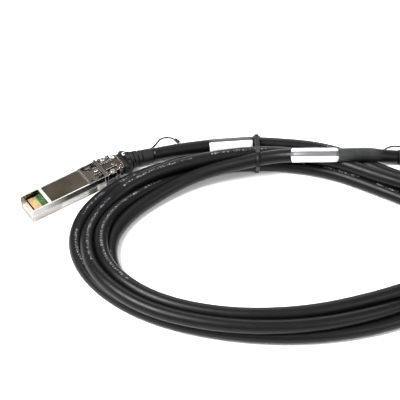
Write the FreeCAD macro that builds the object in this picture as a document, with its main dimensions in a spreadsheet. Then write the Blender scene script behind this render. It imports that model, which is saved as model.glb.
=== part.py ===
"""Direct attach copper cable: two small form-factor plugs joined by a coiled twinax cable.

The two plugs lie latch side up, mirrored about the plane X = 0, with a tied coil between them.
Each plug is drawn in its own frame: x runs from the nose to the cable, y across, z up from the
face that the plug lies on. The plug's placement then carries every piece of it into the part's
frame, whose origin is on the table midway between the two plugs.
"""
import FreeCAD, Part
import math
import os
import Sketcher
from FreeCAD import Placement, Rotation, Vector

doc = FreeCAD.newDocument("DirectAttachCable")
os.makedirs("parts", exist_ok=True)

# ---------------------------------------------------------------- driving sizes (mm, degrees)
SIZES = {
    # plug body
    "body_width": 13.4, "body_height": 8.5, "seam_height": 4.3, "wall": 1.0, "floor_thick": 1.2,
    "stop_front": 45.6, "stop_back": 47.2, "stop_width": 14.2, "stop_height": 9.0,
    "body_end": 58.6, "tail_start": 55.4, "tail_width": 7.6, "waist_start": 52.9, "waist_width": 12.4,
    "rear_top": 8.0, "nose_bevel": 0.7,
    # nose lip and window
    "lip_length": 3.6, "lip_height": 2.7, "window_end": 10.6, "mouth_height": 1.3,
    "lip_slot_at": 1.9, "lip_slot_width": 0.4, "lip_slot_length": 8.6,
    # latch side
    "recess_front": 12.4, "recess_back": 36.0, "recess_depth": 0.4, "rim": 0.6,
    "pocket_front": 37.0, "pocket_floor": 6.9, "pocket_skin": 0.6, "trough_roof": 7.05,
    "trough_half": 1.1, "tongue_front": 41.2, "tongue_width": 3.8,
    "bump_at": 40.7, "bump_off": 4.6, "bump_long": 2.8, "bump_wide": 1.9, "bump_top": 8.3,
    "boss_front": 42.7, "boss_back": 44.9, "boss_width": 2.6, "boss_top": 9.1,
    "roof_under": 7.2,
    # side flutes
    "flute_start": 17.5, "flute_pitch": 0.95, "flute_count": 18, "flute_lean": 0.9,
    "flute_depth": 0.16, "flute_rise": 1.5,
    # release slide
    "slide_floor": 7.3, "slide_low": 7.4, "slide_thick": 0.5, "slide_gap": 0.2,
    "finger_tip": 41.7, "finger_in": 2.9, "finger_out": 3.7, "yoke_front": 55.6,
    "yoke_back": 58.7, "yoke_width": 11.2, "web_width": 5.8, "flange_top": 8.8,
    "slide_travel": 2.5, "eyelet_at": 56.9, "eyelet_off": 4.15, "dimple_at": 54.3,
    "dimple_radius": 0.8, "dimple_rise": 0.3,
    # screws
    "screw_at": 51.0, "screw_off": 5.2, "screw_head": 3.0, "screw_head_height": 0.9,
    "screw_shank": 1.5, "screw_foot": 1.7, "screw_drive": 1.5,
    # circuit board and contacts
    "board_low": 4.0, "board_thick": 1.0, "board_front": 3.9, "board_step": 9.4,
    "board_back": 36.0, "edge_width": 10.2, "board_width": 11.0,
    "pad_count": 10, "pad_pitch": 0.95, "pad_width": 0.72, "pad_length": 4.0, "pad_thick": 0.06,
    # return spring
    "spring_front": 39.2, "spring_back": 47.7, "spring_radius": 0.72, "spring_wire": 0.34,
    "spring_height": 6.2, "spring_coils": 8,
    # contact springs round the body
    "gasket_front": 40.4, "gasket_back": 45.2, "gasket_thick": 0.15, "gasket_bow": 0.3,
    "finger_height": 0.75, "finger_pitch": 1.1, "gasket_fingers": 3,
    # cable end inside the plug
    "axis_height": 4.0, "ferrule_radius": 2.6, "ferrule_bore": 2.2, "ferrule_front": 51.2,
    "wire_radius": 0.6,
    # strain relief
    "boot_front": 58.9, "collar_length": 3.6, "collar_width": 13.0, "collar_height": 6.4,
    "wing_height": 8.3, "wing_lift": 0.3, "wing_start": 2.9,
    "boot_bend_radius": 22.0, "boot_bend_a": 18.3, "boot_bend_b": 34.1, "boot_length": 19.2,
    "boot_neck": 9.2, "boot_tip": 8.3, "boot_core": 3.2,
    "boot_slit": 0.6, "boot_slit_start": 3.4, "boot_slit_pitch": 2.5, "boot_slit_count": 5,
    "boot_slit_sweep": 145.0, "cord_hole_radius": 0.85, "cord_hole_at": 64.0,
    "cord_hole_off": 4.6, "cord_hole_height": 5.9,
    # where the plugs lie
    "nose_across": 134.0, "nose_back": -19.7, "plug_yaw": 34.1,
    # cable, coil, wraps and tie
    "cable_diameter": 7.4, "coil_half_width": 110.0, "coil_half_depth": 66.0,
    "eye_half_width": 83.0, "eye_half_depth": 47.7, "coil_back": -40.9, "eye_back": -36.9,
    "coil_height": 15.2, "coil_edge": 4.5, "wrap_thick": 0.3,
    "tie_across": -11.0, "tie_width": 3.2, "tie_thick": 0.9, "tie_head": 5.0,
    # pull lanyard
    "lanyard_diameter": 0.8, "bead_length": 3.4, "bead_radius": 1.1, "bead_edge": 0.4,
}
sheet = doc.addObject("Spreadsheet::Sheet", "Dim")
for row, (alias, number) in enumerate(SIZES.items(), start=1):
    sheet.set(f"A{row}", alias)
    sheet.set(f"B{row}", str(number))
    sheet.setAlias(f"B{row}", alias)
doc.recompute()


def named(expression):
    """An expression on the sheet's aliases, with the sheet's name put before each alias."""
    words, word = [], ""
    for letter in expression + " ":
        if letter.isalnum() or letter == "_":
            word += letter
            continue
        words.append("Dim." + word if word in SIZES else word)
        words.append(letter)
        word = ""
    return "".join(words).strip()


def value(expression):
    """The number that an expression on the sheet's aliases has now."""
    return float(sheet.evalExpression(named(expression)))


# ---------------------------------------------------------------- sketch and feature helpers
def origin_plane(body, role):
    return next(plane for plane in body.Origin.OriginFeatures if plane.Role == role)


def bind(item, prop, expression):
    item.setExpression(prop, named(expression))


def new_sketch(body, name, role, lift):
    """A sketch on one of the body's own origin planes, lifted along the plane's normal."""
    sketch = body.newObject("Sketcher::SketchObject", name)
    sketch.AttachmentSupport = [(origin_plane(body, role), "")]
    sketch.MapMode = "FlatFace"
    bind(sketch, "AttachmentOffset.Base.z", lift)
    return sketch


def bound_constraint(sketch, kind, geometry, point, expression):
    number = value(expression)
    if point is None:
        index = sketch.addConstraint(Sketcher.Constraint(kind, geometry, number))
    else:
        index = sketch.addConstraint(Sketcher.Constraint(kind, geometry, point, number))
    name = f"size{index}"
    sketch.renameConstraint(index, name)
    bind(sketch, f".Constraints.{name}", expression)


def draw_loop(sketch, corners):
    """A closed outline whose corners are pairs of expressions."""
    first = sketch.GeometryCount
    spots = [Vector(value(across), value(up), 0) for across, up in corners]
    count = len(spots)
    for i in range(count):
        sketch.addGeometry(Part.LineSegment(spots[i], spots[(i + 1) % count]), False)
    for i in range(count):
        following = first + (i + 1) % count
        sketch.addConstraint(Sketcher.Constraint("Coincident", first + i, 2, following, 1))
    for i, (across, up) in enumerate(corners):
        bound_constraint(sketch, "DistanceX", first + i, 1, across)
        bound_constraint(sketch, "DistanceY", first + i, 1, up)


def draw_circle(sketch, across, up, radius):
    spot = Vector(value(across), value(up), 0)
    index = sketch.addGeometry(Part.Circle(spot, Vector(0, 0, 1), value(radius)), False)
    bound_constraint(sketch, "DistanceX", index, 3, across)
    bound_constraint(sketch, "DistanceY", index, 3, up)
    bound_constraint(sketch, "Radius", index, None, radius)


def draw_rounded(sketch, half_width, half_height, corner, across="0", up="0"):
    """A rounded rectangle: four corner arcs joined by four tangent lines."""
    first = sketch.GeometryCount
    wide, high, round_off = value(half_width), value(half_height), value(corner)
    middle = Vector(value(across), value(up), 0)
    signs = ((1, 1), (-1, 1), (-1, -1), (1, -1))
    for quarter, (east, north) in enumerate(signs):
        centre = middle + Vector(east * (wide - round_off), north * (high - round_off), 0)
        circle = Part.Circle(centre, Vector(0, 0, 1), round_off)
        start = quarter * math.pi / 2
        sketch.addGeometry(Part.ArcOfCircle(circle, start, start + math.pi / 2), False)
    arcs = [sketch.Geometry[first + quarter] for quarter in range(4)]
    for quarter in range(4):
        following = arcs[(quarter + 1) % 4]
        sketch.addGeometry(Part.LineSegment(arcs[quarter].EndPoint, following.StartPoint), False)
    for quarter, (east, north) in enumerate(signs):
        line = first + 4 + quarter
        arc = first + quarter
        following = first + (quarter + 1) % 4
        sketch.addConstraint(Sketcher.Constraint("Tangent", arc, 2, line, 1))
        sketch.addConstraint(Sketcher.Constraint("Tangent", line, 2, following, 1))
        bound_constraint(sketch, "DistanceX", arc, 3, f"{across} + ({east})*({half_width} - ({corner}))")
        bound_constraint(sketch, "DistanceY", arc, 3, f"{up} + ({north})*({half_height} - ({corner}))")
        bound_constraint(sketch, "Radius", arc, None, corner)


def rectangle(low, high, near, far):
    return [(low, near), (high, near), (high, far), (low, far)]


def mid_rectangle(low, high, half):
    return rectangle(low, high, f"-({half})", half)


def pair_rectangles(low, high, inner, outer):
    """The same rectangle on both sides of the plug's middle plane."""
    return [rectangle(low, high, inner, outer), rectangle(low, high, f"-({outer})", f"-({inner})")]


def new_body(label, where):
    body = doc.addObject("PartDesign::Body", label)
    body.Label = label
    body.Placement = where
    return body


def shaped(body, kind, name, role, lift, loops, length, both_ways=False):
    """A pad or pocket of one or more closed outlines."""
    sketch = new_sketch(body, name + "_outline", role, lift)
    for loop in loops:
        draw_loop(sketch, loop)
    feature = body.newObject("PartDesign::" + kind, name)
    feature.Profile = sketch
    bind(feature, "Length", length)
    if both_ways:
        feature.Midplane = True
    doc.recompute()
    if feature.Shape.isNull():
        raise RuntimeError(f"{body.Label}: {name} did not build")
    return feature


def pad(body, name, role, lift, loops, length, both_ways=False):
    return shaped(body, "Pad", name, role, lift, loops, length, both_ways)


def pocket(body, name, role, lift, loops, length, both_ways=False):
    before = body.Shape.Volume
    feature = shaped(body, "Pocket", name, role, lift, loops, length, both_ways)
    if body.Shape.Volume > before - 1e-6:
        raise RuntimeError(f"{body.Label}: {name} cut nothing")
    return feature


def round_edges(body, kind, size_name, size, wanted):
    """A fillet or chamfer on the edges of the body's tip that the test accepts."""
    tip = body.Tip
    names = [f"Edge{i}" for i, edge in enumerate(tip.Shape.Edges, start=1) if wanted(edge)]
    if not names:
        raise RuntimeError(f"{body.Label}: no edges to round")
    feature = body.newObject("PartDesign::" + kind, kind.lower())
    feature.Base = (tip, names)
    bind(feature, size_name, size)
    doc.recompute()
    return feature


def fixed_shape(label, shape, where):
    feature = doc.addObject("Part::Feature", label)
    feature.Label = label
    feature.Shape = shape
    feature.Placement = where
    return feature


def group(label, members, where):
    compound = doc.addObject("Part::Compound", label)
    compound.Label = label
    compound.Links = members
    compound.Placement = where
    return compound


# ---------------------------------------------------------------- plug pieces
HALF = "body_width/2"
SHELL_PLAN = [
    ("0", "-body_width/2 + nose_bevel"), ("nose_bevel", "-body_width/2"),
    ("waist_start", "-body_width/2"), ("waist_start", "-waist_width/2"),
    ("tail_start", "-waist_width/2"), ("tail_start", "-tail_width/2"),
    ("body_end", "-tail_width/2"), ("body_end", "tail_width/2"),
    ("tail_start", "tail_width/2"), ("tail_start", "waist_width/2"),
    ("waist_start", "waist_width/2"), ("waist_start", "body_width/2"),
    ("nose_bevel", "body_width/2"), ("0", "body_width/2 - nose_bevel"),
]


def shell_screw_holes(body, top, depth):
    sketch = new_sketch(body, "screw_holes", "XY_Plane", top)
    for side in ("", "-"):
        draw_circle(sketch, "screw_at", f"{side}screw_off", "screw_shank/2 + 0.1")
    holes = body.newObject("PartDesign::Pocket", "screw_hole_pair")
    holes.Profile = sketch
    bind(holes, "Length", depth)
    doc.recompute()


def ferrule_seat(body):
    """The round seat at the cable end, cut along the cable's axis through the rear wall."""
    sketch = new_sketch(body, "ferrule_circle", "YZ_Plane", "body_end + 1")
    draw_circle(sketch, "0", "axis_height", "ferrule_radius + 0.1")
    seat = body.newObject("PartDesign::Pocket", "ferrule_seat")
    seat.Profile = sketch
    bind(seat, "Length", "body_end + 1 - ferrule_front + 0.1")
    doc.recompute()


def side_flutes(body):
    """Fine leaning flutes in two rows along both side faces."""
    for side, reach in (("left", 1), ("right", -1)):
        for level in ("0.5", "0.5 + flute_rise + 0.25"):
            top = f"{level} + flute_rise"
            start, lean = "flute_start", "flute_lean"
            loop = [(start, level), (f"{start} + 0.45", level),
                    (f"{start} + 0.45 + {lean}", top), (f"{start} + {lean}", top)]
            # the side plane's normal points to -y, so the cut runs inward from either side
            sketch = new_sketch(body, f"flute_{side}", "XZ_Plane",
                                f"-({reach})*(body_width/2 - flute_depth)")
            draw_loop(sketch, loop)
            cut = body.newObject("PartDesign::Pocket", f"flute_cut_{side}")
            cut.Profile = sketch
            bind(cut, "Length", "flute_depth + 0.2")
            cut.Reversed = reach < 0
            doc.recompute()
            row = body.newObject("PartDesign::LinearPattern", f"flute_row_{side}")
            row.Originals = [cut]
            row.Direction = (sketch, ["H_Axis"])
            bind(row, "Length", "flute_pitch*(flute_count - 1)")
            bind(row, "Occurrences", "flute_count")
            body.Tip = row
            doc.recompute()


def cover_shell(tag, where):
    """The lower half: floor, lower side walls and the lip that closes the nose below the board."""
    body = new_body("cover_shell_" + tag, where)
    pad(body, "outside", "XY_Plane", "0", [SHELL_PLAN], "seam_height")
    pad(body, "stop_lugs", "XY_Plane", "0.6",
        [mid_rectangle("stop_front", "stop_back", "stop_width/2")], "seam_height - 0.6")
    inside = [("-1", "seam_height + 1"), ("-1", "mouth_height"), ("0", "mouth_height"),
              ("nose_bevel + 0.6", "lip_height - 0.3"), ("lip_length", "lip_height"),
              ("lip_length", "floor_thick"), ("gasket_back + 0.4", "floor_thick"),
              ("gasket_back + 0.4", "seam_height + 1")]
    pocket(body, "inside", "XZ_Plane", "0", [inside], "body_width - 2*wall", both_ways=True)
    pocket(body, "rear_inside", "XY_Plane", "seam_height",
           [mid_rectangle("gasket_back", "ferrule_front", "3.7")], "seam_height - floor_thick")
    pocket(body, "lip_slot", "XY_Plane", "lip_height",
           [mid_rectangle("lip_slot_at", "lip_slot_at + lip_slot_width", "lip_slot_length/2")], "0.7")
    pocket(body, "gasket_groove", "XY_Plane", "gasket_thick + 0.02",
           [mid_rectangle("gasket_front - 0.1", "gasket_back + 0.1", "body_width/2 + 1")],
           "gasket_thick + 0.1")
    pocket(body, "gasket_side_grooves", "XY_Plane", "seam_height",
           pair_rectangles("gasket_front - 0.1", "gasket_back + 0.1",
                           "body_width/2 - gasket_thick - 0.02", "body_width/2 + 1"),
           "seam_height")
    ferrule_seat(body)
    shell_screw_holes(body, "seam_height", "seam_height - screw_foot + 0.3")
    side_flutes(body)
    return body


def latch_shell(tag, where):
    """The upper half: window, name recess, latch boss, cage stop and the slide's channel."""
    body = new_body("latch_shell_" + tag, where)
    pad(body, "outside", "XY_Plane", "seam_height", [SHELL_PLAN], "body_height - seam_height")
    pocket(body, "rear_step", "XY_Plane", "body_height + 1",
           [mid_rectangle("stop_back", "body_end + 1", "body_width")],
           "body_height + 1 - rear_top")
    pad(body, "stop_bar", "XY_Plane", "seam_height",
        [mid_rectangle("stop_front", "stop_back", "stop_width/2")], "stop_height - seam_height")
    pad(body, "side_lugs", "XY_Plane", "rear_top - 1",
        pair_rectangles("48.0", "49.6", "body_width/2 - 0.7", "body_width/2")
        + pair_rectangles("53.1", "55.2", "waist_width/2 - 0.7", "waist_width/2"), "1.9")
    pocket(body, "inside", "XY_Plane", "roof_under",
           [mid_rectangle("window_end - 1", "recess_back", "body_width/2 - wall")],
           "roof_under - seam_height")
    pocket(body, "inside_behind_board", "XY_Plane", "pocket_floor - pocket_skin",
           [mid_rectangle("recess_back - 1", "gasket_back", "body_width/2 - wall")],
           "pocket_floor - pocket_skin - seam_height")
    pocket(body, "rear_inside", "XY_Plane", "pocket_floor - pocket_skin",
           [mid_rectangle("gasket_back - 1", "ferrule_front", "3.7")],
           "pocket_floor - pocket_skin - seam_height")
    pocket(body, "spring_trough", "XY_Plane", "trough_roof",
           [mid_rectangle("spring_front - 1.2", "spring_back + 0.4", "trough_half")],
           "trough_roof - seam_height")
    pocket(body, "window", "XY_Plane", "body_height + 1",
           [mid_rectangle("-1", "window_end", "body_width/2 - wall + 0.2")],
           "body_height + 1 - seam_height")
    recess_half = "body_width/2 - rim"
    pocket(body, "label_recess", "XY_Plane", "body_height",
           [mid_rectangle("recess_front", "recess_back", recess_half)], "recess_depth")
    pocket(body, "latch_recess", "XY_Plane", "body_height",
           [mid_rectangle("recess_back + rim", "stop_front", recess_half)], "recess_depth")
    side_pocket = [("pocket_front + 1.4", recess_half), ("stop_front", recess_half),
                   ("stop_front", "tongue_width/2"), ("tongue_front", "tongue_width/2"),
                   ("pocket_front", "bump_off"), ("pocket_front", recess_half)]
    mirrored = [(along, f"-({across})") for along, across in side_pocket]
    pocket(body, "side_pockets", "XY_Plane", "body_height", [side_pocket, mirrored],
           "body_height - pocket_floor")
    bumps = new_sketch(body, "bump_outlines", "XY_Plane", "pocket_floor - 0.2")
    for side in ("", "-"):
        draw_rounded(bumps, "bump_long/2", "bump_wide/2", "bump_wide/2 - 0.05", "bump_at", side + "bump_off")
    raised = body.newObject("PartDesign::Pad", "bumps")
    raised.Profile = bumps
    bind(raised, "Length", "bump_top - pocket_floor + 0.2")
    doc.recompute()
    boss = [("boss_front", "0"), ("boss_back", "-boss_width/2"), ("boss_back", "boss_width/2")]
    pad(body, "latch_boss", "XY_Plane", "body_height - recess_depth - 0.2", [boss],
        "boss_top - body_height + recess_depth + 0.2")
    pocket(body, "boss_ramp", "XZ_Plane", "0",
           [[("boss_front - 0.1", "body_height"), ("boss_back - 0.5", "boss_top + 0.01"),
             ("boss_front - 0.1", "boss_top + 0.01")]], "boss_width + 0.4", both_ways=True)
    # the slide's fingers pass under the stop bar in two tunnels and run back in one channel
    pocket(body, "finger_tunnels", "YZ_Plane", "screw_at + 1",
           [rectangle("finger_in - slide_gap", "finger_out + slide_gap", "slide_floor", "rear_top + 0.05"),
            rectangle("-finger_out - slide_gap", "-finger_in + slide_gap", "slide_floor",
                      "rear_top + 0.05")], "screw_at + 1 - stop_front + 0.1")
    pocket(body, "slide_channel", "XY_Plane", "rear_top",
           [mid_rectangle("stop_back", "screw_at + 1", "finger_out + slide_gap")],
           "rear_top - slide_floor")
    pocket(body, "web_channel", "XY_Plane", "rear_top",
           [mid_rectangle("screw_at", "tail_start", "web_width/2 + slide_gap")],
           "rear_top - slide_floor")
    pocket(body, "yoke_seat", "XY_Plane", "rear_top + 2",
           [mid_rectangle("yoke_front - 0.3", "body_end + 1", "body_width")],
           "rear_top + 2 - slide_floor")
    pocket(body, "tab_slot", "XY_Plane", "slide_floor + 0.2",
           [mid_rectangle("stop_back + 0.4", "stop_back + 1.2 + slide_travel", "1.1")], "1.2")
    pad(body, "spring_post", "XY_Plane", "spring_height - 0.9",
        [mid_rectangle("spring_front - 0.9", "spring_front", "0.9")],
        "trough_roof - spring_height + 1.0")
    pocket(body, "gasket_side_grooves", "XY_Plane", "seam_height + 0.7",
           pair_rectangles("gasket_front - 0.1", "gasket_back + 0.1",
                           "body_width/2 - gasket_thick - 0.02", "body_width/2 + 1"), "0.7")
    ferrule_seat(body)
    shell_screw_holes(body, "rear_top + 0.01", "rear_top - seam_height + 0.1")
    return body


def contact_gasket(tag, where):
    """A sprung metal strap round the lower shell, with bowed fingers that touch the cage."""
    body = new_body("contact_gasket_" + tag, where)
    top = "seam_height + 0.6"
    strap = [("-body_width/2", "0"), ("body_width/2", "0"), ("body_width/2", top),
             ("body_width/2 - gasket_thick", top), ("body_width/2 - gasket_thick", "gasket_thick"),
             ("-body_width/2 + gasket_thick", "gasket_thick"), ("-body_width/2 + gasket_thick", top),
             ("-body_width/2", top)]
    pad(body, "strap", "YZ_Plane", "gasket_front", [strap], "gasket_back - gasket_front")
    side = "body_width/2"
    low, high = "gasket_front + 0.6", "gasket_back - 0.4"
    bow = [(low, f"{side} - 0.05"), ("(gasket_front + gasket_back)/2 - 0.5", f"{side} + gasket_bow"),
           ("(gasket_front + gasket_back)/2 + 0.7", f"{side} + gasket_bow"), (high, f"{side} - 0.05")]
    mirrored = [(along, f"-({across})") for along, across in bow]
    finger = pad(body, "fingers", "XY_Plane", "0.9", [bow, mirrored], "finger_height")
    row = body.newObject("PartDesign::LinearPattern", "finger_row")
    row.Originals = [finger]
    row.Direction = (finger.Profile[0], ["N_Axis"])
    bind(row, "Length", "finger_pitch*(gasket_fingers - 1)")
    bind(row, "Occurrences", "gasket_fingers")
    body.Tip = row
    doc.recompute()
    return body


def circuit_board(tag, where):
    body = new_body("circuit_board_" + tag, where)
    plan = [("board_front", "-edge_width/2"), ("board_step", "-edge_width/2"),
            ("board_step", "-board_width/2"), ("board_back", "-board_width/2"),
            ("board_back", "board_width/2"), ("board_step", "board_width/2"),
            ("board_step", "edge_width/2"), ("board_front", "edge_width/2")]
    pad(body, "sheet", "XY_Plane", "board_low", [plan], "board_thick")
    return body


def contact_pads(tag, where):
    """Two rows of gold contacts, one on each face of the board's leading edge."""
    bars = []
    for row, level in (("upper", "board_low + board_thick"), ("lower", "board_low - pad_thick")):
        for i in range(int(SIZES["pad_count"])):
            bar = doc.addObject("Part::Box", f"pad_{row}_{i}_{tag}")
            bind(bar, "Length", "pad_length")
            bind(bar, "Width", "pad_width")
            bind(bar, "Height", "pad_thick")
            bind(bar, "Placement.Base.x", "board_front + 0.15")
            bind(bar, "Placement.Base.y", f"({i} - (pad_count - 1)/2)*pad_pitch - pad_width/2")
            bind(bar, "Placement.Base.z", level)
            bars.append(bar)
    return group("contact_pads_" + tag, bars, where)


def board_parts(tag, where):
    """The identity memory chip and its small parts, behind the contacts and under the roof."""
    chips = []
    layout = (("8.9", "-3.3", "0.8", "1.5", "0.45"), ("8.9", "-1.1", "0.6", "1.0", "0.4"),
              ("9.0", "1.1", "0.6", "1.0", "0.4"), ("8.9", "3.0", "0.8", "1.4", "0.45"),
              ("16.0", "-2.0", "3.0", "4.0", "0.9"), ("21.5", "-1.5", "1.0", "0.5", "0.5"))
    for i, (along, across, length, width, height) in enumerate(layout):
        chip = doc.addObject("Part::Box", f"chip_{i}_{tag}")
        bind(chip, "Length", length)
        bind(chip, "Width", width)
        bind(chip, "Height", height)
        bind(chip, "Placement.Base.x", along)
        bind(chip, "Placement.Base.y", across)
        bind(chip, "Placement.Base.z", "board_low + board_thick")
        chips.append(chip)
    return group("board_parts_" + tag, chips, where)


def release_slide(tag, where):
    """One stamped strip: two fingers beside the latch boss, a flanged web and a rear yoke."""
    body = new_body("release_slide_" + tag, where)
    crossbar = "stop_back + 0.2"
    plan = [
        ("finger_tip", "finger_in"), ("finger_tip", "finger_out"),
        (f"{crossbar} + 1.4", "finger_out"), (f"{crossbar} + 1.4", "web_width/2"),
        ("yoke_front", "web_width/2"), ("yoke_front", "yoke_width/2"),
        ("yoke_back", "yoke_width/2"), ("yoke_back", "-yoke_width/2"),
        ("yoke_front", "-yoke_width/2"), ("yoke_front", "-web_width/2"),
        (f"{crossbar} + 1.4", "-web_width/2"), (f"{crossbar} + 1.4", "-finger_out"),
        ("finger_tip", "-finger_out"), ("finger_tip", "-finger_in"),
        (crossbar, "-finger_in"), (crossbar, "finger_in"),
    ]
    pad(body, "strip", "XY_Plane", "slide_low", [plan], "slide_thick")
    flange = pair_rectangles("stop_back + 1.0", "yoke_front", "web_width/2 - 0.4", "web_width/2")
    pad(body, "flanges", "XY_Plane", "slide_low + 0.1", flange, "flange_top - slide_low - 0.1")
    pad(body, "rear_lip", "XY_Plane", "slide_low + 0.1",
        [mid_rectangle("yoke_back - 0.5", "yoke_back", "yoke_width/2 - 1.5")],
        "flange_top - slide_low - 0.1")
    pad(body, "spring_tab", "XY_Plane", "spring_height - 0.35",
        [mid_rectangle("spring_back", "spring_back + 0.5", "0.8")],
        "slide_low - spring_height + 0.45")
    dimple_outline = new_sketch(body, "dimple_outline", "XY_Plane", "slide_low + slide_thick - 0.1")
    draw_circle(dimple_outline, "dimple_at", "0", "dimple_radius")
    dimple = body.newObject("PartDesign::Pad", "dimple")
    dimple.Profile = dimple_outline
    bind(dimple, "Length", "dimple_rise + 0.1")
    doc.recompute()
    tips = [("finger_tip - 0.1", "slide_low + slide_thick + 0.1"),
            ("finger_tip + 1.2", "slide_low + slide_thick + 0.01"),
            ("finger_tip - 0.1", "slide_low + 0.1")]
    pocket(body, "tip_ramps", "XZ_Plane", "0", [tips], "2*finger_out + 1", both_ways=True)
    eyelets = new_sketch(body, "eyelet_outlines", "XY_Plane", "slide_low + slide_thick + 0.1")
    for side in ("", "-"):
        draw_rounded(eyelets, "0.75", "0.85", "0.5", "eyelet_at", side + "eyelet_off")
    cut = body.newObject("PartDesign::Pocket", "eyelets")
    cut.Profile = eyelets
    bind(cut, "Length", "slide_thick + 0.2")
    doc.recompute()
    corner = value("yoke_width/2")

    def outer_corner(edge):
        ends = edge.Vertexes
        upright = len(ends) == 2 and abs(ends[0].Point.z - ends[1].Point.z) > 0.3
        return upright and all(abs(abs(end.Point.y) - corner) < 1e-3 for end in ends)

    round_edges(body, "Fillet", "Radius", "1.3", outer_corner)
    return body


def return_spring(tag, where):
    """A close-wound pull spring between the latch shell's post and the slide's tab."""
    body = new_body("return_spring_" + tag, where)
    coils = int(SIZES["spring_coils"])
    front, back = "spring_front + 1.0", "spring_back - 0.8"
    step = f"(({back}) - ({front}))/{coils}"
    low, high = "spring_radius - spring_wire/2", "spring_radius"
    profile = [("spring_front", "0"), ("spring_front", "spring_wire/2"), (front, "spring_wire/2")]
    for i in range(coils):
        profile.append((f"{front} + ({i} + 0.2)*{step}", low if i else high))
        profile.append((f"{front} + ({i} + 0.5)*{step}", high))
    profile += [(back, "spring_wire/2"), ("spring_back", "spring_wire/2"), ("spring_back", "0")]
    sketch = new_sketch(body, "half_section", "XZ_Plane", "0")
    bind(sketch, "AttachmentOffset.Base.y", "spring_height")
    draw_loop(sketch, profile)
    turned = body.newObject("PartDesign::Revolution", "turned")
    turned.Profile = sketch
    turned.ReferenceAxis = (sketch, ["H_Axis"])
    turned.Angle = 360
    doc.recompute()
    return body


def shell_screws(tag, where):
    """Two dome-edged cap screws with a star drive, as a group."""
    screws = []
    for name, side in (("left", ""), ("right", "-")):
        head = doc.addObject("Part::Cylinder", f"screw_head_{name}_{tag}")
        bind(head, "Radius", "screw_head/2")
        bind(head, "Height", "screw_head_height")
        bind(head, "Placement.Base.z", "rear_top")
        dome = doc.addObject("Part::Chamfer", f"screw_dome_{name}_{tag}")
        dome.Base = head
        doc.recompute()
        top_height = value("rear_top + screw_head_height")
        rims = [i for i, edge in enumerate(head.Shape.Edges, start=1)
                if edge.Closed and abs(edge.CenterOfMass.z - top_height) < 1e-6]
        dome.Edges = [(i, 0.35, 0.35) for i in rims]
        shank = doc.addObject("Part::Cylinder", f"screw_shank_{name}_{tag}")
        bind(shank, "Radius", "screw_shank/2")
        bind(shank, "Height", "rear_top - screw_foot")
        bind(shank, "Placement.Base.z", "screw_foot")
        whole = doc.addObject("Part::Fuse", f"screw_blank_{name}_{tag}")
        whole.Base, whole.Tool = dome, shank
        drives = []
        for turn in (0, 60):
            drive = doc.addObject("Part::Prism", f"screw_drive_{name}_{turn}_{tag}")
            drive.Polygon = 3
            bind(drive, "Circumradius", "screw_drive/2")
            bind(drive, "Height", "1")
            bind(drive, "Placement.Base.z", "rear_top + screw_head_height - 0.5")
            drive.Placement.Rotation = Rotation(Vector(0, 0, 1), turn)
            drives.append(drive)
        star = doc.addObject("Part::Fuse", f"screw_star_{name}_{tag}")
        star.Base, star.Tool = drives
        screw = doc.addObject("Part::Cut", f"screw_{name}_{tag}")
        screw.Base, screw.Tool = whole, star
        bind(screw, "Placement.Base.x", "screw_at")
        bind(screw, "Placement.Base.y", side + "screw_off")
        screws.append(screw)
    return group("shell_screws_" + tag, screws, where)


def crimp_ferrule(tag, where):
    """The ring that clamps the cable's screen between the two shells."""
    body = new_body("crimp_ferrule_" + tag, where)
    sketch = new_sketch(body, "half_section", "XZ_Plane", "0")
    bind(sketch, "AttachmentOffset.Base.y", "axis_height")
    draw_loop(sketch, [("ferrule_front", "ferrule_bore"), ("boot_front", "ferrule_bore"),
                       ("boot_front", "ferrule_radius"), ("ferrule_front", "ferrule_radius")])
    turned = body.newObject("PartDesign::Revolution", "turned")
    turned.Profile = sketch
    turned.ReferenceAxis = (sketch, ["H_Axis"])
    turned.Angle = 360
    doc.recompute()
    return body


def twinax_pairs(tag, where):
    """Four insulated conductors, two above and two below the board's rear edge."""
    wires = []
    for i, (side, up) in enumerate(((1, 1), (-1, 1), (1, -1), (-1, -1))):
        middle = "board_low + board_thick/2"
        start = Vector(value("board_back - 1.6"), side * 1.9,
                       value(middle) + up * value("board_thick/2 + wire_radius + 0.1"))
        finish = Vector(value("body_end"), side * 0.8, value("axis_height") + up * 0.8)
        run = finish - start
        wire = Part.makeCylinder(value("wire_radius"), run.Length, start, run)
        wires.append(fixed_shape(f"wire_{i}_{tag}", wire, Placement()))
    return group("twinax_pairs_" + tag, wires, where)


def boot_frames(hand):
    """A place and heading at any distance along the boot's bent middle line."""
    height, collar = value("axis_height"), value("collar_length")
    front, radius = value("boot_front"), value("boot_bend_radius")
    bend = math.radians(value("boot_bend_a" if hand > 0 else "boot_bend_b"))

    def along(distance):
        if distance <= collar:
            return Vector(front + distance, 0, height), 0.0
        turn = min((distance - collar) / radius, bend)
        spot = Vector(front + collar + radius * math.sin(turn),
                      -hand * radius * (1 - math.cos(turn)), height)
        rest = distance - collar - radius * turn
        heading = -hand * turn
        spot += rest * Vector(math.cos(heading), math.sin(heading), 0)
        return spot, math.degrees(heading)

    return along


def boot_sketch(body, name, role, spot, turn):
    """A sketch on one of the boot's origin planes, carried to a spot and turned there."""
    sketch = body.newObject("Sketcher::SketchObject", name)
    sketch.AttachmentSupport = [(origin_plane(body, role), "")]
    sketch.MapMode = "FlatFace"
    sketch.AttachmentOffset = Placement(spot, turn)
    return sketch


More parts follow.
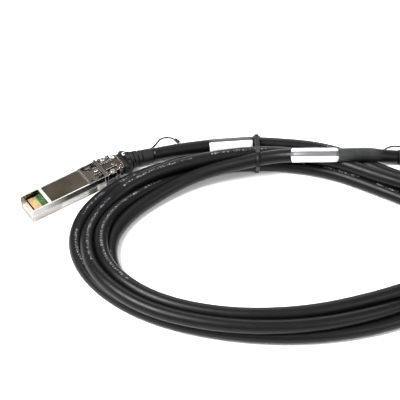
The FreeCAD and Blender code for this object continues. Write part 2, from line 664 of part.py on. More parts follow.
def strain_relief(tag, where, hand):
    """The moulded boot: a low front shelf under the slide's yoke, two wings and a slit sleeve."""
    body = new_body("strain_relief_" + tag, where)
    along = boot_frames(hand)
    tip, wing = value("boot_length"), value("wing_start")
    stations = [
        (0.0, "collar_width/2 - 1.6", "collar_height/2", "1.6", "0"),
        (wing - 1.7, "collar_width/2 - 0.3", "collar_height/2", "1.8", "0"),
        (wing - 0.3, "collar_width/2", "collar_height/2", "1.8", "0"),
        (wing, "collar_width/2", "wing_height/2", "1.6", "wing_lift"),
        (wing + 1.3, "collar_width/2 - 0.3", "wing_height/2", "1.9", "wing_lift"),
        (wing + 2.9, "boot_neck/2 + 0.6", "boot_neck/2 - 0.65", "2.5", "wing_lift/2"),
        (wing + 5.0, "boot_neck/2", "boot_neck/2 - 0.8", "3.0", "0"),
        (wing + 7.7, "boot_neck/2 - 0.15", "boot_neck/2 - 0.8", "3.4", "0"),
        (tip - 3.0, "boot_tip/2 + 0.1", "boot_tip/2 - 0.25", "boot_tip/2 - 0.35", "0"),
        (tip, "boot_tip/2", "boot_tip/2 - 0.25", "boot_tip/2 - 0.35", "0"),
    ]
    sections = []
    for i, (distance, half_width, half_height, corner, up) in enumerate(stations):
        spot, heading = along(distance)
        turned = Rotation(Vector(0, 1, 0), heading)
        sketch = boot_sketch(body, f"section_{i}", "YZ_Plane", Vector(spot.y, spot.z, spot.x), turned)
        draw_rounded(sketch, half_width, half_height, corner, up=up)
        sections.append(sketch)
    loft = body.newObject("PartDesign::AdditiveLoft", "moulding")
    loft.Profile = sections[0]
    loft.Sections = sections[1:]
    loft.Ruled = True
    doc.recompute()
    # rings of slots: over and under the sleeve, then at both sides, in turn
    half_slit = value("boot_slit/2")
    for i in range(int(SIZES["boot_slit_count"])):
        spot, heading = along(value("boot_slit_start") + i * value("boot_slit_pitch"))
        ahead = Rotation(Vector(0, 0, 1), heading)
        reach = "boot_core + 2.8" if i else "boot_core + 2.2"
        for roll in ((90, 270) if i % 2 == 0 else (0, 180)):
            rolled = ahead.multiply(Rotation(Vector(1, 0, 0), roll))
            sketch = boot_sketch(body, f"slit_{i}_{roll}", "XY_Plane", spot, rolled)
            draw_loop(sketch, rectangle(str(-half_slit), str(half_slit), "boot_core", reach))
            cut = body.newObject("PartDesign::Groove", f"slit_cut_{i}_{roll}")
            cut.Profile = sketch
            cut.ReferenceAxis = (sketch, ["H_Axis"])
            cut.Midplane = True
            bind(cut, "Angle", "boot_slit_sweep")
            doc.recompute()
    # a slanting hole through each wing for the pull cord, from the top down to the flank
    for side in (1, -1):
        spot = Vector(value("cord_hole_at"), side * value("cord_hole_off"), value("cord_hole_height"))
        slant = Rotation(Vector(0, 0, 1), Vector(0.36, side * 0.6, -0.71))
        sketch = boot_sketch(body, f"cord_hole_{side}", "XY_Plane", spot, slant)
        draw_circle(sketch, "0", "0", "cord_hole_radius")
        before = body.Shape.Volume
        hole = body.newObject("PartDesign::Pocket", "cord_hole")
        hole.Profile = sketch
        hole.Midplane = True
        bind(hole, "Length", "collar_width")
        doc.recompute()
        if body.Shape.Volume > before - 1:
            raise RuntimeError(f"{body.Label}: a cord hole cut nothing")
    return body


# ---------------------------------------------------------------- cable, lanyards, wraps, tie
def tube(points, diameter, name):
    """A tube along straight runs joined by tangent arcs as large as the runs allow."""
    spots = [Vector(*point) for point in points]
    edges, start, radii = [], spots[0], []
    for before, here, after in zip(spots, spots[1:], spots[2:]):
        inward, outward = (here - before).normalize(), (after - here).normalize()
        half_turn = inward.getAngle(outward) / 2
        shorter = min((here - before).Length, (after - here).Length)
        setback = 0.45 * shorter
        radius = setback / math.tan(half_turn)
        radii.append(round(radius, 1))
        first, last = here - inward * setback, here + outward * setback
        middle_way = (outward - inward).normalize()
        middle = here + middle_way * (radius / math.cos(half_turn) - radius)
        edges.append(Part.LineSegment(start, first).toShape())
        edges.append(Part.Arc(first, middle, last).toShape())
        start = last
    edges.append(Part.LineSegment(start, spots[-1]).toShape())
    path = Part.Wire(edges)
    circle = Part.Wire(Part.makeCircle(diameter / 2, spots[0], spots[1] - spots[0]))
    solid = path.makePipeShell([circle], True, False)
    expected = math.pi * diameter ** 2 / 4 * path.Length
    if abs(solid.Volume - expected) > 0.01 * expected:
        raise RuntimeError(f"{name}: the tube's volume is off")
    print(f"{name}: length {path.Length:.1f} mm, arc radii {radii}")
    return solid


def cable_coil():
    """The outer shape of the tied turns: an oval ring, wider at the two ends than at the back."""
    body = new_body("cable_coil", Placement())
    sketch = new_sketch(body, "ring_outline", "XY_Plane", "0")
    ovals = (("coil_half_width", "coil_half_depth", "coil_back"),
             ("eye_half_width", "eye_half_depth", "eye_back"))
    for half_width, half_depth, back in ovals:
        centre = Vector(0, value(back), 0)
        oval = Part.Ellipse(centre + Vector(value(half_width), 0, 0),
                            centre + Vector(0, value(half_depth), 0), centre)
        index = sketch.addGeometry(oval, False)
        sketch.exposeInternalGeometry(index)
        long_axis, short_axis = index + 1, index + 2
        bound_constraint(sketch, "DistanceX", index, 3, "0")
        bound_constraint(sketch, "DistanceY", index, 3, back)
        sketch.addConstraint(Sketcher.Constraint("Horizontal", long_axis))
        bound_constraint(sketch, "Distance", long_axis, None, f"2*{half_width}")
        bound_constraint(sketch, "Distance", short_axis, None, f"2*{half_depth}")
    ring = body.newObject("PartDesign::Pad", "ring")
    ring.Profile = sketch
    bind(ring, "Length", "coil_height")
    doc.recompute()
    round_edges(body, "Chamfer", "Size", "coil_edge", lambda edge: edge.Closed)
    return body


def wrap(label, start, finish):
    """A printed wrap round the cable: a thin sleeve about a straight stretch."""
    radius = value("cable_diameter/2")
    run = Vector(*finish) - Vector(*start)
    outer = Part.makeCylinder(radius + value("wrap_thick"), run.Length, Vector(*start), run)
    inner = Part.makeCylinder(radius, run.Length, Vector(*start), run)
    return fixed_shape(label, outer.cut(inner), Placement())


def cable_tie():
    """One looped strap drawn tight round the five strands at the back, with its lock head."""
    across, width, thick = value("tie_across"), value("tie_width"), value("tie_thick")
    radius = value("cable_diameter/2")
    floor = radius + thick
    strands = [(28.7, floor), (17.6, 11.0), (10.1, 11.5), (13.9, floor)]
    corners = [Vector(across - width / 2, back, up) for back, up in strands]
    hull = Part.Face(Part.makePolygon(corners + corners[:1]))
    outside = Part.Face(hull.makeOffset2D(radius + thick).OuterWire)
    inside = Part.Face(hull.makeOffset2D(radius + 0.05).OuterWire)
    strap = outside.cut(inside).extrude(Vector(width, 0, 0))
    size = value("tie_head")
    head = Part.makeBox(size, 3.2, 4.2, Vector(across - size / 2, 31.0, 6.0))
    head = head.makeChamfer(0.6, head.Edges)
    return fixed_shape("cable_tie", strap.fuse(head).removeSplitter(), Placement())


# middle line of each pull cord: across (outward from the middle), back, up
LEASH = {
    1: [(83.7, 20.3, 5.6), (83.4, 22.7, 3.2), (80.6, 24.4, 1.5), (76.3, 25.2, 0.6), (71.4, 26.6, 0.45),
        (66.6, 31.2, 0.45), (63.8, 37.4, 0.45), (57.4, 38.0, 0.45), (55.0, 35.2, 0.8)],
    -1: [(83.7, 20.3, 5.6), (83.4, 22.7, 3.2), (80.8, 24.8, 1.4), (77.0, 27.2, 0.6), (72.2, 29.8, 0.45),
         (67.2, 31.4, 0.45), (62.2, 29.9, 0.45), (58.6, 26.4, 0.45), (55.0, 27.2, 0.8)],
}


def lanyard(tag, hand):
    """The pull cord, from its hole in the boot's far wing along the table to its crimped bead."""
    points = [(-hand * across, back, up) for across, back, up in LEASH[hand]]
    shape = tube(points, value("lanyard_diameter"), "pull_lanyard_" + tag)
    leash = fixed_shape("pull_lanyard_" + tag, shape, Placement())
    end, before = Vector(*points[-1]), Vector(*points[-2])
    heading = (end - before).normalize()
    heading.z = 0
    radius, length = value("bead_radius"), value("bead_length")
    start = Vector(end.x, end.y, radius + 0.05)
    bead = Part.makeCylinder(radius, length, start, heading)
    bead = bead.makeChamfer(value("bead_edge"), [edge for edge in bead.Edges if edge.Closed])
    knot = fixed_shape("lanyard_bead_" + tag, bead, Placement())
    return leash, knot


def plug_placement(hand):
    """Where a plug's own frame stands: +1 is the left plug, -1 the right one."""
    yaw = value("plug_yaw") if hand > 0 else 180 - value("plug_yaw")
    nose = Vector(-hand * value("nose_across"), value("nose_back"), 0)
    return Placement(nose, Rotation(Vector(0, 0, 1), yaw))


def boot_tip(hand, beyond=0.0):
    """The middle of the boot's cable end, or a point straight out from it."""
    spot, heading = boot_frames(hand)(value("boot_length"))
    out = Vector(math.cos(math.radians(heading)), math.sin(math.radians(heading)), 0)
    return tuple(plug_placement(hand).multVec(spot + beyond * out))


# ---------------------------------------------------------------- the whole cable
nodes = []
for tag, hand in (("a", 1), ("b", -1)):
    place = plug_placement(hand)
    nodes += [cover_shell(tag, place), latch_shell(tag, place), contact_gasket(tag, place),
              circuit_board(tag, place), contact_pads(tag, place), board_parts(tag, place),
              release_slide(tag, place), return_spring(tag, place), shell_screws(tag, place),
              crimp_ferrule(tag, place), twinax_pairs(tag, place),
              strain_relief(tag, place, hand)]
    nodes += lanyard(tag, hand)

cable = value("cable_diameter")
TAIL_A = [boot_tip(1), boot_tip(1, 9.0), (-41.5, 26.2, 4.4), (-25.0, 27.9, 4.6), (-7.0, 28.6, 4.6),
          (14.0, 26.6, 4.4)]
TAIL_B = [boot_tip(-1), boot_tip(-1, 10.0), (45.5, 17.4, 5.8)]
nodes.append(cable_coil())
nodes.append(fixed_shape("cable_tail_a", tube(TAIL_A, cable, "cable_tail_a"), Placement()))
nodes.append(fixed_shape("cable_tail_b", tube(TAIL_B, cable, "cable_tail_b"), Placement()))
nodes.append(wrap("label_wrap_a", (-35.5, 26.8, 4.5), (-13.2, 28.3, 4.6)))
nodes.append(wrap("label_wrap_b", (8.0, 13.7, 12.2), (32.4, 14.0, 12.2)))
nodes.append(cable_tie())

doc.recompute()
for item in doc.Objects:
    if "Invalid" in item.State or "Error" in item.State:
        raise RuntimeError(f"{item.Label} did not build: {item.State}")
for node in nodes:
    if node.Shape.isNull() or not node.Shape.isValid():
        raise RuntimeError(f"{node.Label} has no valid shape")
for node in nodes:
    node.Shape.exportStep(f"parts/{node.Label}.step")
print(len(nodes), "pieces written")
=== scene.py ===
"""Looks for a coiled direct attach copper cable with a pluggable module at each end."""
import functools
import math

import bmesh
import bpy
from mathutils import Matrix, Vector


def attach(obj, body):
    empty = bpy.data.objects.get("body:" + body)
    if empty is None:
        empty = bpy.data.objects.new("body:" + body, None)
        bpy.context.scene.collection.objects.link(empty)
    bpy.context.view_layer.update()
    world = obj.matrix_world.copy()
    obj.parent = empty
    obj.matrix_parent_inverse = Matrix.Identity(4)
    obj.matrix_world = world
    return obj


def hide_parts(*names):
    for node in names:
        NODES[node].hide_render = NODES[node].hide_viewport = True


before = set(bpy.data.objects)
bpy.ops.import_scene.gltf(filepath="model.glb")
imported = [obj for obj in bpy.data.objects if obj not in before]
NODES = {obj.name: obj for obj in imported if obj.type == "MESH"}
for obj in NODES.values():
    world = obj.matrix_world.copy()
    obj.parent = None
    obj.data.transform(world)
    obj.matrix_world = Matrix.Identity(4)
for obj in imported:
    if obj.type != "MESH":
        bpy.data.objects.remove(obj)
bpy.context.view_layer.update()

bl_info = {
    "name": "Direct attach cable",
    "version": (1, 0, 0),
    "blender": (4, 5, 0),
    "location": "View3D > Sidebar > Cable",
    "description": "Builds the jacket, wraps, tie, cords and finishes of a direct attach cable",
    "category": "Object",
}

MM = 0.001
BODY = "cable_and_plugs"
# Where each plug's nose lies, in millimetres outward and back, and how far the plug turns outward
PLUG_NOSE = (134.0, -19.7)
PLUG_TURN = math.radians(34.1)
UPWARD = Vector((0.0, 0.0, 1.0))


def solid(red, green, blue):
    """An opaque colour."""
    return red, green, blue, 1.0


def scaled(colour, factor):
    """The same colour, lighter or darker by a factor."""
    return solid(*(part * factor for part in colour[:3]))


# ---------------------------------------------------------------- settings a user would change
class CableSizes(bpy.types.PropertyGroup):
    """The cable and what lies on it"""

    jacket: bpy.props.FloatProperty(
        name="Jacket diameter", description="Outer diameter of the cable",
        default=7.4 * MM, min=0.0, unit="LENGTH")
    half_width: bpy.props.FloatProperty(
        name="Coil half width", description="Half of the coil's outer width",
        default=110.0 * MM, unit="LENGTH")
    half_depth: bpy.props.FloatProperty(
        name="Coil half depth", description="Half of the coil's outer depth",
        default=68.0 * MM, unit="LENGTH")
    back: bpy.props.FloatProperty(
        name="Coil middle", description="How far back the coil's middle lies",
        default=-38.9 * MM, unit="LENGTH")
    jacket_colour: bpy.props.FloatVectorProperty(
        name="Jacket colour", description="Colour of the extruded jacket",
        subtype="COLOR", size=4, default=(0.0015, 0.0015, 0.0017, 1.0))
    print_colour: bpy.props.FloatVectorProperty(
        name="Print colour", description="Colour of the ink marks along the jacket",
        subtype="COLOR", size=4, default=(0.135, 0.135, 0.14, 1.0))
    wrap_white: bpy.props.FloatVectorProperty(
        name="Wrap white", description="Colour of the printed field on the wraps",
        subtype="COLOR", size=4, default=(0.80, 0.81, 0.82, 1.0))
    wrap_grey: bpy.props.FloatVectorProperty(
        name="Wrap line", description="Colour of the dark line across the white field",
        subtype="COLOR", size=4, default=(0.085, 0.085, 0.09, 1.0))
    wrap_thickness: bpy.props.FloatProperty(
        name="Wrap thickness", description="How far a wrap stands off the jacket",
        default=0.14 * MM, unit="LENGTH")
    tie_width: bpy.props.FloatProperty(
        name="Tie width", description="Width of the cable tie's strap",
        default=2.5 * MM, unit="LENGTH")
    tie_thickness: bpy.props.FloatProperty(
        name="Tie thickness", description="Thickness of the cable tie's strap",
        default=0.9 * MM, unit="LENGTH")
    tie_colour: bpy.props.FloatVectorProperty(
        name="Tie colour", description="Colour of the cable tie",
        subtype="COLOR", size=4, default=(0.0015, 0.0015, 0.0017, 1.0))
    cord_colour: bpy.props.FloatVectorProperty(
        name="Pull cord colour", description="Colour of the pull cords and their crimped ends",
        subtype="COLOR", size=4, default=(0.004, 0.004, 0.0045, 1.0))


class PlugFinish(bpy.types.PropertyGroup):
    """The plugs' metal, board and boot"""

    nickel: bpy.props.FloatVectorProperty(
        name="Nickel", description="Colour of the plated shells",
        subtype="COLOR", size=4, default=(0.93, 0.91, 0.87, 1.0))
    # the colour of a painted dark reflection on the shells' sunk fields and on the steel's level
    # faces
    sunk_reflection: bpy.props.FloatVectorProperty(
        name="Sunk fields", description="Colour of the plate where it lies below the rims",
        subtype="COLOR", size=4, default=(0.064, 0.054, 0.042, 1.0))
    gold: bpy.props.FloatVectorProperty(
        name="Gold", description="Colour of the board's contacts",
        subtype="COLOR", size=4, default=(0.42, 0.27, 0.12, 1.0))
    mask: bpy.props.FloatVectorProperty(
        name="Solder mask", description="Colour of the circuit board",
        subtype="COLOR", size=4, default=(0.026, 0.078, 0.024, 1.0))
    small_metal: bpy.props.FloatVectorProperty(
        name="Small metal", description="Colour of the screws, the gasket and the ferrule",
        subtype="COLOR", size=4, default=(0.34, 0.32, 0.29, 1.0))
    boot: bpy.props.FloatVectorProperty(
        name="Boot", description="Colour of the moulded strain relief",
        subtype="COLOR", size=4, default=(0.003, 0.003, 0.0033, 1.0))
    edge_radius: bpy.props.FloatProperty(
        name="Edge softness", description="Radius that the die-cast edges seem to have",
        default=0.24 * MM, unit="LENGTH")


class StudioSettings(bpy.types.PropertyGroup):
    """The camera and the table"""

    elevation: bpy.props.FloatProperty(
        name="Elevation", description="Camera height angle above the table",
        default=math.radians(48.0), subtype="ANGLE", unit="ROTATION")
    distance: bpy.props.FloatProperty(
        name="Distance", description="Camera distance from its target",
        default=0.850, unit="LENGTH")
    lens: bpy.props.FloatProperty(
        name="Lens", description="Focal length in millimetres", default=141.8)
    target: bpy.props.FloatVectorProperty(
        name="Target", description="Point on the table that the camera looks at",
        subtype="TRANSLATION", size=3, default=(-41.5 * MM, -8.9 * MM, 0.0))
    floor_colour: bpy.props.FloatVectorProperty(
        name="Floor", description="Colour of the table", subtype="COLOR", size=4,
        default=(0.86, 0.86, 0.86, 1.0))


# ---------------------------------------------------------------- shader writing
# Sockets of the mix node that carry colours
COLOUR_A, COLOUR_B, COLOUR_OUT = 6, 7, 2


class Wire:
    """A socket that can be used in a Python expression."""

    def __init__(self, bench, socket):
        self.bench = bench
        self.socket = socket

    def _math(self, operation, *values):
        inputs = dict(enumerate(values))
        return self.bench.node("ShaderNodeMath", {"operation": operation}, inputs)

    def __add__(self, other):
        return self._math("ADD", self, other)

    def __radd__(self, other):
        return self._math("ADD", other, self)

    def __sub__(self, other):
        return self._math("SUBTRACT", self, other)

    def __rsub__(self, other):
        return self._math("SUBTRACT", other, self)

    def __mul__(self, other):
        return self._math("MULTIPLY", self, other)

    def __rmul__(self, other):
        return self._math("MULTIPLY", other, self)

    def __truediv__(self, other):
        return self._math("DIVIDE", self, other)

    def __gt__(self, other):
        return self._math("GREATER_THAN", self, other)

    def __lt__(self, other):
        return self._math("LESS_THAN", self, other)

    def floor(self):
        return self._math("FLOOR", self)

    def fraction(self):
        return self._math("FRACT", self)

    def __abs__(self):
        return self._math("ABSOLUTE", self)

    def either(self, other):
        return self._math("MAXIMUM", self, other)

    def between(self, low, high):
        """1 where the value lies between the two, 0 elsewhere."""
        return (self > low) * (self < high)

    def ramp(self, low, high, to_low=0.0, to_high=1.0):
        """Goes evenly from to_low at low to to_high at high, and stays level beyond them."""
        inputs = {0: self, 1: low, 2: high, 3: to_low, 4: to_high}
        return self.bench.node("ShaderNodeMapRange", {"clamp": True}, inputs)


def any_of(masks):
    """1 where one of the masks is 1."""
    return functools.reduce(Wire.either, masks)


class Bench:
    """The shader of a material, or of the studio's air, being put together."""

    def __init__(self, owner, output):
        self.owner = owner
        self.owner.use_nodes = True
        self.tree = self.owner.node_tree
        self.tree.nodes.clear()
        self.output = self.tree.nodes.new(output)

    def fill(self, socket, value):
        """Link a wire to a socket, or set its value."""
        if isinstance(value, Wire):
            self.tree.links.new(value.socket, socket)
        else:
            socket.default_value = value

    def node(self, kind, settings=None, inputs=None, out=0):
        """A new node: its type, its settings, what its sockets get, and which output is used."""
        made = self.tree.nodes.new(kind)
        for key, value in (settings or {}).items():
            setattr(made, key, value)
        for key, value in (inputs or {}).items():
            self.fill(made.inputs[key], value)
        return Wire(self, made.outputs[out])

    def place(self):
        """Position in the row frame, in metres."""
        return self.node("ShaderNodeTexCoord", out="Object")

    def split(self, vector):
        """The three parts of a vector."""
        parts = self.node("ShaderNodeSeparateXYZ", {}, {0: vector}).socket.node
        return tuple(Wire(self, parts.outputs[axis]) for axis in "XYZ")

    def along(self):
        """The two coordinates of a wrapped piece: metres along it, and turns round it."""
        return self.split(self.node("ShaderNodeUVMap", {"uv_map": "wrap"}))[:2]

    def in_plug(self):
        """Millimetres back from the nose, across to the far side and up, the same in both plugs."""
        x, y, z = self.split(self.place())
        aside = PLUG_NOSE[0] * MM - abs(x)
        back = y - PLUG_NOSE[1] * MM
        cos, sin = math.cos(PLUG_TURN) / MM, math.sin(PLUG_TURN) / MM
        return aside * cos + back * sin, back * cos - aside * sin, z / MM

    def upward(self):
        """How far a face looks up: 1 for a level top, 0 for a wall."""
        return self.split(self.node("ShaderNodeNewGeometry", out="True Normal"))[2]

    def edge_highlight(self, rounded):
        """1 along the rounded edges, 0 on the flats."""
        facing = self.node("ShaderNodeNewGeometry", out="True Normal")
        inputs = {0: rounded, 1: facing}
        same = self.node("ShaderNodeVectorMath", {"operation": "DOT_PRODUCT"}, inputs, "Value")
        return (1 - same).ramp(0.015, 0.10)

    def join(self, x, y, z=0.0):
        return self.node("ShaderNodeCombineXYZ", {}, {"X": x, "Y": y, "Z": z})

    def noise(self, place, scale, detail=3.0):
        inputs = {"Vector": place, "Scale": scale, "Detail": detail, "Roughness": 0.5}
        return self.node("ShaderNodeTexNoise", {}, inputs)

    def chance(self, place):
        """A number from 0 to 1 that differs from cell to cell."""
        settings = {"noise_dimensions": "3D"}
        return self.node("ShaderNodeTexWhiteNoise", settings, {"Vector": place})

    def tint(self, mask, first, second):
        """A colour that goes from the first to the second as the mask goes from 0 to 1."""
        inputs = {"Factor": mask, COLOUR_A: first, COLOUR_B: second}
        return self.node("ShaderNodeMix", {"data_type": "RGBA"}, inputs, COLOUR_OUT)

    def bump(self, height, strength, distance, normal=None):
        inputs = {"Height": height, "Strength": strength, "Distance": distance}
        if normal is not None:
            inputs["Normal"] = normal
        return self.node("ShaderNodeBump", {}, inputs)

    def soft_edges(self, radius):
        return self.node("ShaderNodeBevel", {"samples": 6}, {"Radius": radius})

    def finish(self, shader):
        """Send the shader to the output, and hand over what it belongs to."""
        self.fill(self.output.inputs["Surface"], shader)
        return self.owner

    def surface(self, **inputs):
        """The finished material, from the sockets of a principled shader."""
        named = {}
        for key, value in inputs.items():
            named[key.replace("_", " ").title().replace("Ior", "IOR")] = value
        return self.finish(self.node("ShaderNodeBsdfPrincipled", {}, named))


def new_finish(name):
    return Bench(bpy.data.materials.new(name), "ShaderNodeOutputMaterial")


def finish_with(material, *names):
    """Give CAD nodes a material in every slot."""
    for name in names:
        mesh = NODES[name].data
        if not mesh.materials:
            mesh.materials.append(material)
        for index in range(len(mesh.materials)):
            mesh.materials[index] = material


def both(*names):
    """The names of the same nodes in both plugs."""
    return [f"{name}_{side}" for name in names for side in "ab"]


# ---------------------------------------------------------------- mesh helpers
def new_piece(name, mesh_maker, material):
    """A smooth piece that rides on the cable's body, with the mesh that mesh_maker draws."""
    mesh = bpy.data.meshes.new(name)
    shape = bmesh.new()
    mesh_maker(shape)
    bmesh.ops.recalc_face_normals(shape, faces=shape.faces)
    shape.to_mesh(mesh)
    shape.free()
    mesh.materials.append(material)
    for face in mesh.polygons:
        face.use_smooth = True
    piece = bpy.data.objects.new(name, mesh)
    bpy.context.scene.collection.objects.link(piece)
    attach(piece, BODY)
    return piece


def smooth_line(name, points):
    """Points along the NURBS spline that has these control points, read from a bare curve."""
    data = bpy.data.curves.new(name, "CURVE")
    data.dimensions = "3D"
    data.resolution_u = 12
    spline = data.splines.new("NURBS")
    spline.points.add(len(points) - 1)
    for point, place in zip(spline.points, points):
        point.co = (*place, 1.0)
    spline.order_u = 3
    spline.use_endpoint_u = True
    holder = bpy.data.objects.new(name, data)
    bpy.context.scene.collection.objects.link(holder)
    bpy.context.view_layer.update()
    mesh = bpy.data.meshes.new_from_object(holder)
    line = [vertex.co.copy() for vertex in mesh.vertices]
    bpy.data.meshes.remove(mesh)
    bpy.data.objects.remove(holder)
    bpy.data.curves.remove(data)
    return line


def even_steps(line, step):
    """The same line with evenly spaced points, and each point's distance from the start."""
    lengths = [0.0]
    for before, after in zip(line, line[1:]):
        lengths.append(lengths[-1] + (after - before).length)
    total = lengths[-1]
    count = max(2, round(total / step))
    places, index = [], 0
    for i in range(count + 1):
        wanted = total * i / count
        while index < len(line) - 2 and lengths[index + 1] < wanted:
            index += 1
        span = lengths[index + 1] - lengths[index]
        share = (wanted - lengths[index]) / span if span else 0.0
        places.append(line[index].lerp(line[index + 1], min(1.0, share)))
    return places, [total * i / count for i in range(count + 1)]


def headings(places):
    """The direction of the line at each of its points."""
    found = []
    for i in range(len(places)):
        before = places[max(0, i - 1)]
        after = places[min(len(places) - 1, i + 1)]
        found.append((after - before).normalized())
    return found


def tube(shape, places, distances, radius, sides, start=0.0):
    """A round tube with closed ends.

    Its wrap coordinates are metres along it and turns round it, counted from the top and
    beginning at start. radius is a number, or a function of the distance and the turn.
    """
    wrap = shape.loops.layers.uv.new("wrap")
    turns = [start + k / sides for k in range(sides + 1)]
    rings = []
    for place, ahead, distance in zip(places, headings(places), distances):
        across = ahead.cross(UPWARD).normalized()
        above = across.cross(ahead)
        ring = []
        for turn in turns[:-1]:
            angle = 2 * math.pi * turn
            reach = radius(distance, turn) if callable(radius) else radius
            spoke = math.cos(angle) * above + math.sin(angle) * across
            ring.append(shape.verts.new(place + reach * spoke))
        rings.append(ring)
    for i in range(len(rings) - 1):
        here, there = rings[i], rings[i + 1]
        near, far = distances[i], distances[i + 1]
        for k in range(sides):
            after = (k + 1) % sides
            face = shape.faces.new((here[k], here[after], there[after], there[k]))
            low, high = turns[k], turns[k + 1]
            corners = ((near, low), (near, high), (far, high), (far, low))
            for loop, corner in zip(face.loops, corners):
                loop[wrap].uv = corner
    shape.faces.new(rings[0])
    shape.faces.new(list(reversed(rings[-1])))


# ---------------------------------------------------------------- the cable's route
# Control points in millimetres: across, back and up. The two ends lie outside the coil.
TAIL_A = [(-67.7, 20.8, 4.0), (-59.5, 23.2, 4.1), (-48.0, 25.4, 4.3), (-35.0, 27.5, 4.4),
          (-22.0, 28.6, 4.4)]
TAIL_B = [(2.0, 9.3, 15.4), (15.0, 6.9, 18.6), (28.0, 7.4, 18.0), (39.5, 10.7, 14.9),
          (50.0, 16.9, 9.1), (60.0, 19.2, 4.6), (67.5, 19.4, 4.0)]
# Where the turns pass, from the tie clockwise: the angle in degrees, then for each turn how far in
# from the coil's outer edge and how high its middle line runs, in millimetres. A numeric fit, which
# kept the turns apart and the bends gentle, gave these places, apart from the first slot, and the
# backs and heights of TAIL_B's first five points. Most were changed a little afterwards.
TIE_SLOTS = [(0.2, 4.4), (7.3, 4.2), (13.7, 11.9), (14.5, 4.0), (21.2, 14.0)]
STATIONS = [
    (73.5, [(1.6, 3.7), (9.4, 3.7), (14.2, 9.3), (17.9, 3.7)]),
    (51, [(12.4, 3.7), (19.0, 3.7), (21.8, 10.9), (24.9, 4.6)]),
    (28.5, [(4.2, 5.6), (13.7, 3.7), (15.5, 10.8), (24.0, 4.8)]),
    (6, [(4.6, 3.7), (13.5, 3.7), (14.5, 11.0), (24.2, 4.3)]),
    (-16.5, [(5.8, 3.9), (13.2, 3.7), (13.3, 11.1), (21.7, 3.8)]),
    (-39, [(2.2, 3.7), (9.2, 5.5), (13.0, 12.2), (15.9, 3.7)]),
    (-61.5, [(2.8, 3.7), (7.7, 9.5), (15.4, 11.3), (15.8, 3.7)]),
    (-106.5, [(3.3, 3.7), (2.3, 11.2), (9.6, 10.9), (10.9, 3.7)]),
    (-129, [(2.3, 3.8), (0.8, 11.1), (8.1, 11.0), (9.4, 3.7)]),
    (-151.5, [(2.8, 3.7), (3.8, 11.3), (11.2, 10.8), (14.4, 3.7)]),
    (-174, [(3.1, 3.7), (9.7, 8.0), (16.8, 8.9), (21.8, 3.7)]),
    (-196.5, [(4.0, 3.7), (11.3, 4.2), (18.5, 5.6), (25.7, 3.7)]),
    (-219, [(5.5, 3.7), (11.4, 8.1), (17.7, 3.7), (25.3, 4.6)]),
    (-241.5, [(6.9, 4.0), (14.1, 11.2), (15.2, 3.7), (21.1, 8.0)]),
]
TIE_ANGLE = 96.0
TURNS = 4
# Control points in each turn, and the distance between the jacket's rings
TURN_STEPS = 16
JACKET_STEP = 2.0 * MM
# The pull cords' control points in millimetres: outward from the middle, back and up
PULL_CORDS = {
    "a": (-1, [(83.7, 20.3, 5.6), (83.4, 22.7, 3.2), (80.6, 24.4, 1.5), (76.3, 25.2, 0.6),
               (71.4, 26.6, 0.45), (66.6, 31.2, 0.45), (63.8, 37.4, 0.45), (57.4, 38.0, 0.45),
               (55.0, 35.2, 0.8)]),
    "b": (1, [(83.7, 20.3, 5.6), (83.4, 22.7, 3.2), (80.8, 24.8, 1.4), (77.0, 27.2, 0.6),
              (72.2, 29.8, 0.45), (67.2, 31.4, 0.45), (62.2, 29.9, 0.45), (58.6, 26.4, 0.45),
              (55.0, 27.2, 0.8)]),
}
PULL_STEP = 0.35 * MM


def place_in_bundle(keys, angle):
    """How far in and how high a turn runs at an angle, eased between its neighbouring keys."""
    for (first, inward_1, up_1), (last, inward_2, up_2) in zip(keys, keys[1:]):
        if first >= angle >= last:
            share = (first - angle) / (first - last)
            share = share * share * (3 - 2 * share)
            return inward_1 + (inward_2 - inward_1) * share, up_1 + (up_2 - up_1) * share
    raise ValueError(f"no station on both sides of {angle} degrees")


def coil_points(sizes):
    """The turns, one after another, each passing its own place in the bundle at every station."""
    points = []
    # the control points stand a little outside the curve that they draw
    swell = 1 / math.cos(math.pi / TURN_STEPS)
    for turn in range(TURNS):
        keys = [(TIE_ANGLE, *TIE_SLOTS[turn])]
        keys += [(angle, *slots[turn]) for angle, slots in STATIONS]
        keys.append((TIE_ANGLE - 360, *TIE_SLOTS[turn + 1]))
        last_turn = turn == TURNS - 1
        for step in range(TURN_STEPS + last_turn):
            angle = TIE_ANGLE - 360 * step / TURN_STEPS
            inward, up = place_in_bundle(keys, angle)
            radians = math.radians(angle)
            width = sizes.half_width - inward * MM
            depth = sizes.half_depth - inward * MM
            points.append(Vector((swell * width * math.cos(radians),
                                  sizes.back + swell * depth * math.sin(radians), up * MM)))
    return points


def cable_line():
    """Even points along the whole cable from plug a to plug b, and their distances."""
    tail_a, tail_b = ([Vector(point) * MM for point in tail] for tail in (TAIL_A, TAIL_B))
    points = tail_a + coil_points(bpy.context.scene.cable_sizes) + tail_b
    return even_steps(smooth_line("cable_route", points), JACKET_STEP)


def pull_line(side):
    """Even points along the pull cord of one plug, and their distances."""
    sign, route = PULL_CORDS[side]
    points = [Vector((sign * out, back, up)) * MM for out, back, up in route]
    return even_steps(smooth_line("pull_route", points), PULL_STEP)


def tie_strands(places, across):
    """Where the cable passes a plane across the bundle at the back, as (back, up) pairs."""
    found = []
    for before, after in zip(places, places[1:]):
        if (before.x - across) * (after.x - across) <= 0 and before.y > 0 and before.x != after.x:
            share = (across - before.x) / (after.x - before.x)
            crossing = before.lerp(after, share)
            found.append((crossing.y, crossing.z))
    return found


